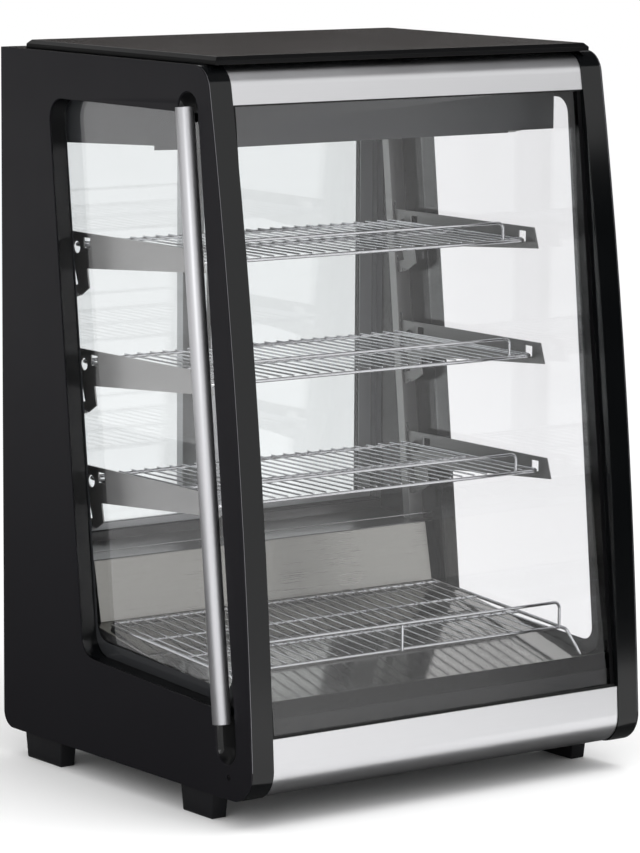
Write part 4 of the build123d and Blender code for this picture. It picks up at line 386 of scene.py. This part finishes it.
def tilt_tray(bm):
    """Tilts the tray's underside and ends the lower lamp part short of the right wall."""
    for place in (LAMP_END, LAMP_END + LAMP_END_WIDTH):
        cut_across(bm, (place, 0, 0), (1, 0, 0))
    for v in bm.verts:
        main = lift(MAIN_EDGE, MAIN_SLOPE, v.co.y, CAD_MAIN)
        if v.co.z < CAD_LAMP + SHEET:
            past_lamp = v.co.x > LAMP_END + LAMP_END_WIDTH / 3
            lamp = lift(LAMP_EDGE, LAMP_SLOPE, v.co.y, CAD_LAMP)
            v.co.z += main + CAD_MAIN - CAD_LAMP if past_lamp else lamp
        elif v.co.z < CAD_MAIN + SHEET:
            v.co.z += main


def tilt_lamp(bm):
    """Lifts the lamp and its cover with the tray's lamp part."""
    for v in bm.verts:
        v.co.z += lift(LAMP_EDGE, LAMP_SLOPE, v.co.y, CAD_LAMP)


def raise_top(bm):
    """Raises what lies above the doors' top rails."""
    for v in bm.verts:
        if DOOR_RAIL < v.co.z < DOOR_RAIL + DOOR_RAIL_REACH:
            v.co.z += DOOR_RAISE


RESHAPED = {"ceiling_box": tilt_tray, "lamp_cover": tilt_lamp, "lamp_strip": tilt_lamp}
for node in ("rear_header", "door_jambs", "door_left_frame", "door_right_frame", "door_left_panes",
             "door_right_panes"):
    RESHAPED[node] = raise_top

# %% [markdown]
# Each line names a node, its dressed copy, the copy's finish and the width of its rounded edges in
# millimetres. Sheet metal gets narrow edges and mouldings get wider ones. A nought leaves the
# edges sharp, where the piece shows too little of them.

# %% Dressing
DRESSED = [
    ("side_cover_left", "left_cover", powder_black, 0.7),
    ("side_cover_right", "right_cover", powder_black, 0.7),
    ("side_frame_left", "left_side_moulding", abs_black, 0.9),
    ("side_frame_right", "right_side_moulding", abs_black, 0.9),
    ("lid_panel", "lid", lid_black, 0.8),
    ("ceiling_box", "ceiling_tray", grey_paint, 0.5),
    ("lamp_cover", "frosted_lamp_strip", diffuser, 0),
    ("lamp_strip", "lamp_board", board_white, 0),
    ("top_trim", "upper_front_trim", trim_aluminium, 0.3),
    ("bottom_trim", "lower_front_trim", trim_aluminium, 0.3),
    ("front_glass", "front_pane", clear_glass, 0.7),
    ("side_glass_left", "left_pane", clear_glass, 0.7),
    ("side_glass_right", "right_pane", clear_glass, 0.7),
    ("duct_panel", "duct_front", duct_stainless, 0.3),
    ("ledge_panel", "rear_ledge", ledge_stainless, 0.3),
    ("rear_header", "upper_track", dark_steel, 0.4),
    ("rear_sill", "lower_track", dark_steel, 0.4),
    ("rear_cover", "louvred_cover", powder_black, 0.2),
    ("upright_left", "left_slotted_upright", stainless, 0.4),
    ("upright_right", "right_slotted_upright", stainless, 0.4),
    ("brackets_top", "upper_shelf_brackets", stainless, 0.3),
    ("brackets_middle", "middle_shelf_brackets", stainless, 0.3),
    ("brackets_bottom", "lower_shelf_brackets", stainless, 0.3),
    ("wire_shelf_top", "upper_wire_shelf", plated_wire, 0.3),
    ("wire_shelf_middle", "middle_wire_shelf", plated_wire, 0.3),
    ("wire_shelf_bottom", "lower_wire_shelf", plated_wire, 0.3),
    ("bottom_rack", "floor_rack", plated_wire, 0.3),
    ("door_left_frame", "left_door_profile", door_aluminium, 0.4),
    ("door_right_frame", "right_door_profile", door_aluminium, 0.4),
    ("door_left_panes", "left_door_glass", door_glass, 0.4),
    ("door_right_panes", "right_door_glass", door_glass, 0.4),
    ("door_jambs", "side_jambs", jamb_grey, 0.4),
    ("door_left_pull", "left_finger_pull", control_plastic, 0.3),
    ("door_right_pull", "right_finger_pull", control_plastic, 0.3),
    ("controller", "temperature_controller", control_plastic, 0.3),
    ("switch_housings", "switch_bezels", control_plastic, 0.3),
]
for node, name, material, edge in DRESSED:
    dressed(node, name, material, edge)
print(len(DRESSED), "dressed pieces")

# %% [markdown]
# A few pieces need two finishes. The groove that holds each corner tube and the brackets on the
# right look darker in the picture than their finish makes them, so both get painted shade: the
# groove a dull black, the right-hand brackets a darker copy of their stainless. The lid's edges
# look duller than its face. A second material goes on a piece, and each face is tested: by its
# distance from the tube's line, by its side of the case, or by how far it looks upwards.

# %% Second finishes
TUBE_LOW = Vector((0.315, -0.2255285, 0.1305))
TUBE_HIGH = Vector((0.315, -0.1427285, 0.8843))
TUBE_LINE = (TUBE_HIGH - TUBE_LOW).normalized()
GROOVE_REACH, GROOVE_MOUTH = 0.0185, 0.3088
LOOKS_UP = 0.9


def second_finish(name, material, wanted):
    """Gives a piece's faces a second finish where wanted(face) is true."""
    mesh = bpy.data.objects[name].data
    mesh.materials.append(material)
    chosen = [face for face in mesh.polygons if wanted(face)]
    for face in chosen:
        face.material_index = 1
    print(name, "has", len(chosen), "faces in", material.name)


def in_groove(face):
    """True near the line of a corner tube and behind the groove's mouth."""
    away = Vector((abs(face.center.x), face.center.y, face.center.z)) - TUBE_LOW
    from_line = (away - TUBE_LINE * away.dot(TUBE_LINE)).length
    return abs(face.center.x) < GROOVE_MOUTH and from_line < GROOVE_REACH


# The groove round each corner tube gets dull black as painted shade.
for name in ("left_side_moulding", "right_side_moulding"):
    second_finish(name, dark_enamel_and_painted_shade, in_groove)
# The right-hand brackets get the darker copy of their stainless as painted shade.
for name in ("upper_shelf_brackets", "middle_shelf_brackets", "lower_shelf_brackets"):
    second_finish(name, painted_shade_stainless, lambda face: face.center.x > 0)
second_finish("lid", dark_enamel_and_painted_shade, lambda face: face.normal.z <= LOOKS_UP)

# %% [markdown]
# The floor is one sheet with a dark front upstand, so it too gets two finishes. The dressed copy
# is cut across with a plane just behind the fold, and the faces in front of the cut take the
# second one.

# %% Floor sheet
FOLD = -0.2566
floor_sheet = dressed("floor_deck", "floor_sheet", deck_stainless, 0)
bm = bmesh.new()
bm.from_mesh(floor_sheet.data)
cut_across(bm, (0, FOLD, 0), (0, 1, 0))
bm.to_mesh(floor_sheet.data)
bm.free()
second_finish("floor_sheet", dark_enamel_and_painted_shade, lambda face: face.center.y < FOLD)

# %% [markdown]
# The picture shows a dark border round the side windows, a little wider at the left pane than at
# the right one. It is taken to be printed on the panes' outer faces, and its widths are set for
# each pane. It is a flat ring: a plane is given the window's four corners, its corners are
# rounded with a vertex bevel, a smaller copy of the outline is bridged to it, and Solidify gives
# the print a thickness of 0.2 mm. The window's front edge runs parallel to the corner tube.

# %% Outline of the side windows
TUBE_SLOPE = (TUBE_HIGH.y - TUBE_LOW.y) / (TUBE_HIGH.z - TUBE_LOW.z)
AHEAD_OF_TUBE = 0.0074
WINDOW_TOP, WINDOW_LOW_REAR, WINDOW_LOW_FRONT = 0.8770, 0.1625, 0.1447
WINDOW_REAR_TOP, WINDOW_REAR_LOW = 0.1713, 0.0936


def tube_depth(height):
    """Depth of the corner tubes' line at a height."""
    return TUBE_LOW.y + TUBE_SLOPE * (height - TUBE_LOW.z)


def window_corners(front_high, front_low, low=0.0, rear=0.0, high=0.0):
    """The window's four corners in depth and height, each edge moved inwards."""
    z_high, z_front, z_rear = WINDOW_TOP - high, WINDOW_LOW_FRONT + low, WINDOW_LOW_REAR + low
    return [
        (tube_depth(z_high) - AHEAD_OF_TUBE + front_high, z_high),
        (WINDOW_REAR_TOP - rear, z_high),
        (WINDOW_REAR_LOW - rear, z_rear),
        (tube_depth(z_front) - AHEAD_OF_TUBE + front_low, z_front),
    ]


print("window corners", [(round(y, 4), z) for y, z in window_corners(0.0, 0.0)])

# %% Printed borders of the side panes
PRINT_PLACE, PRINT_THICK = 0.2877, 0.0002
PRINT_AHEAD = 0.012
INSET_LOW, INSET_REAR, INSET_HIGH = 0.019, 0.003, 0.003
ROUND_OUTER, ROUND_INNER = 0.027, 0.020
SIDE_PRINTS = (
    (-1, "left_printed_border", "side_glass_left", 0.014, 0.019),
    (1, "right_printed_border", "side_glass_right", 0.004, 0.013),
)


def finished(bm, name, sharp_degrees=None):
    """An object from a bmesh, smooth except at sharp edges where their angle is given."""
    mesh = bpy.data.meshes.new(name)
    for face in bm.faces:
        face.smooth = sharp_degrees is not None
    bm.to_mesh(mesh)
    bm.free()
    if sharp_degrees is not None:
        mesh.set_sharp_from_angle(angle=math.radians(sharp_degrees))
    return bpy.data.objects.new(name, mesh)


def thicken(bm, thickness):
    """Gives an open bmesh a wall, with faces that point outwards before and after."""
    bmesh.ops.recalc_face_normals(bm, faces=bm.faces)
    bmesh.ops.solidify(bm, geom=bm.faces[:] + bm.edges[:] + bm.verts[:], thickness=thickness)
    bmesh.ops.recalc_face_normals(bm, faces=bm.faces)


for side, name, node, front_high, front_low in SIDE_PRINTS:
    bm = bmesh.new()
    outer = window_corners(-PRINT_AHEAD, -PRINT_AHEAD)
    inner = window_corners(front_high, front_low, INSET_LOW, INSET_REAR, INSET_HIGH)
    for corners, rounding in ((outer, ROUND_OUTER), (inner, ROUND_INNER)):
        verts = [bm.verts.new((0, y, z)) for y, z in corners]
        bm.faces.new(verts)
        bmesh.ops.bevel(bm, geom=verts, offset=rounding, segments=8, profile=0.5, affect="VERTICES",
                        material=-1)
    bmesh.ops.delete(bm, geom=bm.faces[:], context="FACES_ONLY")
    bmesh.ops.bridge_loops(bm, edges=bm.edges[:])
    thicken(bm, PRINT_THICK)
    bmesh.ops.translate(bm, vec=(side * PRINT_PLACE, 0, 0), verts=bm.verts)
    border = place_piece(finished(bm, name), "cabinet", glass_print)
    print(name, len(border.data.polygons), "faces")

# %% [markdown]
# Two thin bright lines in the picture are edges that catch the light. One is the bare edge of each
# side cover where it meets the moulding, along the leaning front. It is a ribbon laid along the
# front line, which is measured on the cover's own points, because the front is bowed.

# %% Bare edges of the covers
COVER_EDGE_PLACE, COVER_EDGE_WIDTH = 0.3094, 0.0006
COVER_EDGE_PROUD, COVER_EDGE_THICK = 0.00005, 0.0003
COVER_EDGE_LOWEST = 0.075
FRONT_REACH = -0.030
for side, node, name in ((-1, "side_cover_left", "left_cover_edge"),
                         (1, "side_cover_right", "right_cover_edge")):
    points = [v.co for v in nodes[node].data.vertices if v.co.z > COVER_EDGE_LOWEST]
    line = sorted({(round(p.z, 5), round(p.y, 5)) for p in points if p.y - tube_depth(p.z) < FRONT_REACH})
    bm = bmesh.new()
    chain = [bm.verts.new((side * COVER_EDGE_PLACE, y - COVER_EDGE_PROUD, z)) for z, y in line]
    edges = [bm.edges.new(pair) for pair in zip(chain, chain[1:])]
    wide = bmesh.ops.extrude_edge_only(bm, edges=edges)["geom"]
    moved = [g for g in wide if isinstance(g, bmesh.types.BMVert)]
    bmesh.ops.translate(bm, vec=(-side * COVER_EDGE_WIDTH, 0, 0), verts=moved)
    thicken(bm, COVER_EDGE_THICK)
    place_piece(finished(bm, name), "cabinet", bare_edge)
    print(name, len(line), "points from", line[0], "to", line[-1])

# %% [markdown]
# The other bright line is the rolled hem of the ledge over the duct panel. A cylinder of the
# hem's radius is made upright at the origin, then turned and moved onto the ledge's front edge.

# %% Hem of the ledge
HEM_RADIUS = 0.0009


def onto(low, high):
    """The matrix that takes an upright shape at the origin onto the line between two points."""
    turned = Vector((0, 0, 1)).rotation_difference(high - low).to_matrix().to_4x4()
    return Matrix.Translation((low + high) / 2) @ turned


ledge_low, ledge_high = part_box("ledge_panel")
hem_low = Vector((ledge_low.x, ledge_low.y + HEM_RADIUS, ledge_high.z - HEM_RADIUS))
hem_high = Vector((ledge_high.x, hem_low.y, hem_low.z))
bm = bmesh.new()
bmesh.ops.create_cone(bm, segments=16, radius1=HEM_RADIUS, radius2=HEM_RADIUS,
                      depth=(hem_high - hem_low).length, cap_ends=True)
bmesh.ops.transform(bm, matrix=onto(hem_low, hem_high), verts=bm.verts)
place_piece(finished(bm, "ledge_hem"), "cabinet", screw_steel)
print("hem from", hem_low, "to", hem_high)

# %% [markdown]
# The front pane has a black printed border at both sides. Each is a thin leaning slab on the
# pane's outer face, 6 mm wide, made from a cube that is scaled, turned and moved.

# %% Printed borders of the front pane
PANE_LOW, PANE_HIGH = Vector((0, -0.2755, 0.0968)), Vector((0, -0.1850, 0.8952))
PANE_EDGE, BORDER_WIDTH = 0.2764, 0.006
bm = bmesh.new()
for side in (-1, 1):
    slab = bmesh.ops.create_cube(bm, size=1.0)["verts"]
    bmesh.ops.scale(bm, vec=(BORDER_WIDTH, PRINT_THICK, (PANE_HIGH - PANE_LOW).length), verts=slab)
    beside = Vector((side * (PANE_EDGE - BORDER_WIDTH / 2), -PRINT_THICK * 1.5, 0))
    bmesh.ops.transform(bm, matrix=onto(PANE_LOW + beside, PANE_HIGH + beside), verts=slab)
borders = finished(bm, "front_printed_borders")
place_piece(borders, "cabinet", dark_enamel_and_painted_shade)
lean = (PANE_HIGH - PANE_LOW).angle(Vector((0, 0, 1)))
print("front borders lean", round(math.degrees(lean), 2), "degrees")

# %% [markdown]
# The controller shows a temperature of 04 in lit bars. Each bar of a digit is a thin box in the
# display's recess, placed by how far it lies across and up from the digit's middle, in halves of
# the digit. The back is seen from behind, so the digits run towards the left side.

# %% Display digits
led_red = grained("lit_display_bars", "#ff5a3c", 0.4, bump_mm=0.0,
                  **{"Emission Color": linear("#ff4a2c"), "Emission Strength": 1.2})
DIGIT_HEIGHT, DIGIT_WIDTH = 0.0120, 0.0064
BAR, BAR_DEPTH, BAR_GAP = 0.0012, 0.0002, 1.4
DISPLAY_FACE, DISPLAY_HEIGHT = 0.2763, 0.2290
LEVEL_BARS = {"top": (0, 1), "middle": (0, 0), "bottom": (0, -1)}
UPRIGHT_BARS = {"upper_left": (1, 0.5), "upper_right": (-1, 0.5), "lower_left": (1, -0.5),
                "lower_right": (-1, -0.5)}
DIGITS = {-0.0700: ("top", "bottom", *UPRIGHT_BARS),
          -0.0810: ("middle", "upper_left", "upper_right", "lower_right")}
LEVEL_SIZE = (DIGIT_WIDTH - 2 * BAR, BAR_DEPTH, BAR)
UPRIGHT_SIZE = (BAR, BAR_DEPTH, DIGIT_HEIGHT / 2 - BAR_GAP * BAR)

bm = bmesh.new()
for place, lit in DIGITS.items():
    for bar in lit:
        across, rise = {**LEVEL_BARS, **UPRIGHT_BARS}[bar]
        verts = bmesh.ops.create_cube(bm, size=1.0)["verts"]
        bmesh.ops.scale(bm, vec=LEVEL_SIZE if bar in LEVEL_BARS else UPRIGHT_SIZE, verts=verts)
        spot = (place + across * DIGIT_WIDTH / 2, DISPLAY_FACE, DISPLAY_HEIGHT + rise * DIGIT_HEIGHT / 2)
        bmesh.ops.translate(bm, vec=spot, verts=verts)
digits = place_piece(finished(bm, "display_digits"), "cabinet", led_red)
print(len(digits.data.polygons) // 6, "lit bars")

# %% [markdown]
# The remaining solids have the right shape as they are, and most of them are hidden behind others.
# They keep their meshes and get their finishes in their own material slots.

# %% Finishes of the solids that stay
KEPT = {
    "tube_holders": abs_black,
    "front_glass_seals": seal_rubber,
    "fixing_rails": dark_steel,
    "base_pan": zinc,
    "floor_insulation": foam,
    "compressor": enamel_black,
    "condenser": fin_aluminium,
    "condenser_fan_housing": control_plastic,
    "condenser_fan_rotor": control_plastic,
    "evaporator": fin_aluminium,
    "blower_housing": zinc,
    "blower_rotor": zinc,
    "refrigerant_pipes": copper,
    "button_set": button_plastic,
    "button_up": button_plastic,
    "button_down": button_plastic,
    "power_rocker": rocker_plastic,
    "light_rocker": rocker_plastic,
    "cord_gland": gland_rubber,
}
for node, material in KEPT.items():
    mesh = nodes[node].data
    mesh.materials.clear()
    mesh.materials.append(material)
print(len(KEPT), "solids keep their meshes")

# %% [markdown]
# The corner tubes are drawn aluminium, 23 mm across with a 1.5 mm wall. A cylinder without caps
# gets its wall from solidify, and its two rims a small rounding that shines as a bright ring. It is
# made upright at the origin, then turned and moved onto the line that the CAD tube has.

# %% Corner tubes
TUBE_RADIUS, TUBE_WALL, RIM_ROUND = 0.0117, 0.0015, 0.0004
NEAR = 1e-5


def mirrored(point, side):
    """A point or a direction on the right side for side 1, or the left for side -1."""
    return Vector((side * point.x, point.y, point.z))


def on_rim(edge, half_length):
    """True for an edge that runs round the tube at one of its ends."""
    first, second = (v.co for v in edge.verts)
    at_end = abs(abs(first.z + second.z) / 2 - half_length) < NEAR
    return at_end and abs(first.xy.length - second.xy.length) < NEAR


for side, node, name in ((1, "corner_tube_right", "right_corner_tube"),
                         (-1, "corner_tube_left", "left_corner_tube")):
    low, high = mirrored(TUBE_LOW, side), mirrored(TUBE_HIGH, side)
    length = (high - low).length
    bm = bmesh.new()
    bmesh.ops.create_cone(bm, segments=72, radius1=TUBE_RADIUS, radius2=TUBE_RADIUS, depth=length,
                          cap_ends=False)
    thicken(bm, TUBE_WALL)
    rims = [edge for edge in bm.edges if on_rim(edge, length / 2)]
    bmesh.ops.bevel(bm, geom=rims, offset=RIM_ROUND, segments=2, profile=0.5, affect="EDGES",
                    material=-1)
    bmesh.ops.transform(bm, matrix=onto(low, high), verts=bm.verts)
    tube = finished(bm, name, sharp_degrees=50)
    place_piece(tube, "cabinet", tube_aluminium, (node,))

# %% [markdown]
# Each foot is a moulded block that tapers downwards, with rounded edges and a rubber pad let into
# its sole. It starts as a cube, its lower corners are drawn in, the edges are bevelled, and the
# sole is inset and raised to make the pad's rim.

# %% Feet
FOOT_OUTSIDE, FOOT_INSIDE, FOOT_HEIGHT = 0.303, 0.278, 0.036
FRONT_FOOT, REAR_FOOT = (-0.188528, -0.118528), (0.156972, 0.242972)
FOOT_TAPER, FOOT_ROUND = 0.0032, 0.0016
PAD_INSET, PAD_RAISE = 0.003, -0.0012


def foot(bm, lo, hi):
    """One tapered foot between two corners."""
    middle = (lo + hi) / 2
    made = bmesh.ops.create_cube(bm, size=1.0)["verts"]
    bmesh.ops.scale(bm, vec=hi - lo, verts=made)
    bmesh.ops.translate(bm, vec=middle, verts=made)
    for v in made:
        if v.co.z < middle.z:
            v.co.x += math.copysign(FOOT_TAPER / 2, middle.x - v.co.x)
            v.co.y += math.copysign(FOOT_TAPER, middle.y - v.co.y)
    edges = list({e for v in made for e in v.link_edges})
    bmesh.ops.bevel(bm, geom=edges, offset=FOOT_ROUND, segments=3, profile=0.5, affect="EDGES",
                    material=-1)
    centres = {f: f.calc_center_median() for f in bm.faces}
    own = [f for f, c in centres.items() if lo.x <= c.x <= hi.x and lo.y <= c.y <= hi.y]
    sole = min(own, key=lambda f: (round(centres[f].z, 5), -f.calc_area()))
    bmesh.ops.inset_region(bm, faces=[sole], thickness=PAD_INSET, depth=PAD_RAISE)


bm = bmesh.new()
for y_front, y_rear in (FRONT_FOOT, REAR_FOOT):
    for side in (-1, 1):
        x_left, x_right = sorted((side * FOOT_OUTSIDE, side * FOOT_INSIDE))
        foot(bm, Vector((x_left, y_front, 0.0)), Vector((x_right, y_rear, FOOT_HEIGHT)))
feet = finished(bm, "moulded_feet", sharp_degrees=40)
place_piece(feet, "cabinet", foot_plastic, ("feet",))

# %% [markdown]
# The screws are pan heads with a cross recess. Half of a head's outline is spun round the axis,
# and the recess is pressed in by moving the points of the top that lie on a cross. Two screws hold
# each tube, near its ends, and their heads look backwards and a little outwards. Low on each
# side, over the fixing screw, sits a larger black head.

# %% Screw heads
DOME_STEPS = 6
HEAD_TURNS = 32
RECESS_TOP, RECESS_WIDTH, RECESS_DEPTH = 0.55, 0.17, 0.5


def turned_head(bm, radius, height, place, axis):
    """A domed screw head with a cross recess, at a place and along an axis."""
    angles = [math.pi / 2 * step / DOME_STEPS for step in range(DOME_STEPS + 1)]
    outline = [bm.verts.new((radius * math.cos(a), 0, height * math.sin(a))) for a in angles]
    edges = [bm.edges.new(pair) for pair in zip(outline, outline[1:])]
    edges.append(bm.edges.new((bm.verts.new((radius, 0, -height)), outline[0])))
    bmesh.ops.spin(bm, geom=edges + outline, cent=(0, 0, 0), axis=(0, 0, 1), angle=2 * math.pi,
                   steps=HEAD_TURNS, use_merge=True)
    made = [v for v in bm.verts if not v.tag]
    for v in made:
        if v.co.z > height * RECESS_TOP and min(abs(v.co.x), abs(v.co.y)) < radius * RECESS_WIDTH:
            v.co.z -= height * RECESS_DEPTH
    spin = Vector((0, 0, 1)).rotation_difference(axis).to_matrix().to_4x4()
    bmesh.ops.transform(bm, matrix=Matrix.Translation(place) @ spin, verts=made)
    for v in bm.verts:
        v.tag = True


# %% Screws
SCREW_RADIUS, CAP_RADIUS, HEAD_HEIGHT = 0.0021, 0.0033, 0.0009
SCREW_FROM_END = 0.008
SCREW_OUTWARDS = 0.35
CAP_PLACE = Vector((0.3096, -0.23475, 0.064))

backwards = Vector((SCREW_OUTWARDS, math.sqrt(1 - SCREW_OUTWARDS**2), 0.0))
outward = (backwards - TUBE_LINE * backwards.dot(TUBE_LINE)).normalized()
screws = bmesh.new()
for end in (TUBE_HIGH - TUBE_LINE * SCREW_FROM_END, TUBE_LOW + TUBE_LINE * SCREW_FROM_END):
    seat = end + outward * TUBE_RADIUS
    for side in (1, -1):
        turned_head(screws, SCREW_RADIUS, HEAD_HEIGHT, mirrored(seat, side), mirrored(outward, side))
caps = bmesh.new()
for side in (1, -1):
    turned_head(caps, CAP_RADIUS, HEAD_HEIGHT, mirrored(CAP_PLACE, side), Vector((side, 0, 0)))
for heads, name, finish in ((screws, "pan_screws", screw_steel), (caps, "side_screw_caps", dark_enamel_and_painted_shade)):
    bmesh.ops.remove_doubles(heads, verts=heads.verts, dist=1e-7)
    bmesh.ops.recalc_face_normals(heads, faces=heads.faces)
    place_piece(finished(heads, name, sharp_degrees=35), "cabinet", finish, ("screws",))

# %% [markdown]
# The studio is a pale floor without end and a soft white sky. Black and polished finishes show
# what stands round them, and a photographer puts dark boards round such a piece to draw its
# shape. The boards here are seen in reflections only: one behind the counter for the lid, one in
# front on the right, one overhead and one on the floor. The right one fades from white to black
# along its length, so that the glass shows no edge of it.

# %% Sky, floor and boards
FADE_LEFT, FADE_RIGHT = 0.45, 1.79
FADE_TONES = ((0.22, "#ffffff"), (0.40, "#c8c8c8"), (0.48, "#080808"))
FLOOR_REACH = 60

world = bpy.data.worlds.new("studio")
bpy.context.scene.world = world
world.use_nodes = True
world.node_tree.nodes["Background"].inputs["Color"].default_value = linear("#ffffff")
world.node_tree.nodes["Background"].inputs["Strength"].default_value = 1.0


def stage_plane(name, corners, finish):
    """A flat four-cornered piece of the studio."""
    bm = bmesh.new()
    bm.faces.new([bm.verts.new(c) for c in corners])
    plane = finished(bm, name)
    bpy.context.scene.collection.objects.link(plane)
    plane.data.materials.append(finish)
    return plane


def matt(name, tone):
    """A dull, even finish for a piece of the studio."""
    return grained(name, tone, 0.9, specular=0.0, tint=0.0, bump_mm=0.0)


def fading(name):
    """Light that runs through the fading tones along X."""
    material, tree = new_material(name)
    along = add(tree, "ShaderNodeSeparateXYZ", {0: (add(tree, "ShaderNodeTexCoord"), "Object")})
    fade = add(tree, "ShaderNodeMapRange", {
        "Value": (along, 0), "From Min": FADE_LEFT, "From Max": FADE_RIGHT,
    })
    tones = add(tree, "ShaderNodeValToRGB", {"Fac": (fade, 0)})
    ramp = tones.color_ramp.elements
    for stop, (position, tone) in zip(ramp, (FADE_TONES[0], FADE_TONES[-1])):
        stop.position = position
        stop.color = linear(tone)
    for position, tone in FADE_TONES[1:-1]:
        ramp.new(position).color = linear(tone)
    finish_with(tree, add(tree, "ShaderNodeEmission", {"Color": (tones, 0), "Strength": 1.0}))
    return material


floor_corners = [(x * FLOOR_REACH, y * FLOOR_REACH, 0) for x, y in ((-1, -1), (1, -1), (1, 1), (-1, 1))]
stage_plane("studio_floor", floor_corners, matt("pale_studio_floor", "#ffffff"))
BOARDS = {
    "board_behind": ([(-7, 3.0, 1.0), (5, 3.0, 1.0), (5, 3.0, 1.9), (-7, 3.0, 1.9)],
                     matt("board_behind_cloth", "#2c2826")),
    "board_right": ([(FADE_LEFT, -1.85, 0), (FADE_RIGHT, -0.90, 0), (FADE_RIGHT, -0.90, 1.05),
                     (FADE_LEFT, -1.85, 1.05)], fading("fading_board")),
    "board_above": ([(-3, -2.2, 2.6), (3, -2.2, 2.6), (3, 2, 2.6), (-3, 2, 2.6)],
                    matt("board_above_cloth", "#3a3a3c")),
    "board_below": ([(-2, -0.33, 0.002), (2, -0.33, 0.002), (2, 3, 0.002), (-2, 3, 0.002)],
                    matt("board_below_cloth", "#5a5a5a")),
}
for name, (corners, finish) in BOARDS.items():
    board = stage_plane(name, corners, finish)
    for ray in ("camera", "diffuse", "transmission", "volume_scatter", "shadow"):
        setattr(board, "visible_" + ray, False)
print(len(BOARDS), "boards for the reflections")

# %% [markdown]
# Two soft square lamps add the long highlights: a large one high in front, and a smaller one on
# the left. The white sky gives the rest of the light. The view is shown with the Standard
# transform, which leaves a white background white.

# %% Lamps
LAMP_AIM = Vector((0, 0, 0.5))


def soft_lamp(name, place, size, power):
    """A square area lamp that looks at the middle of the counter."""
    light = bpy.data.lights.new(name, "AREA")
    light.shape = "SQUARE"
    light.size = size
    light.energy = power
    lamp = bpy.data.objects.new(name, light)
    lamp.location = place
    lamp.rotation_euler = (LAMP_AIM - Vector(place)).to_track_quat("-Z", "Y").to_euler()
    bpy.context.scene.collection.objects.link(lamp)
    print(name, power, "W")


soft_lamp("top_lamp", (0.4, -1.6, 3.4), size=1.8, power=40)
soft_lamp("left_lamp", (-3.0, -2.5, 1.8), size=1.4, power=20)
bpy.context.scene.view_settings.view_transform = "Standard"
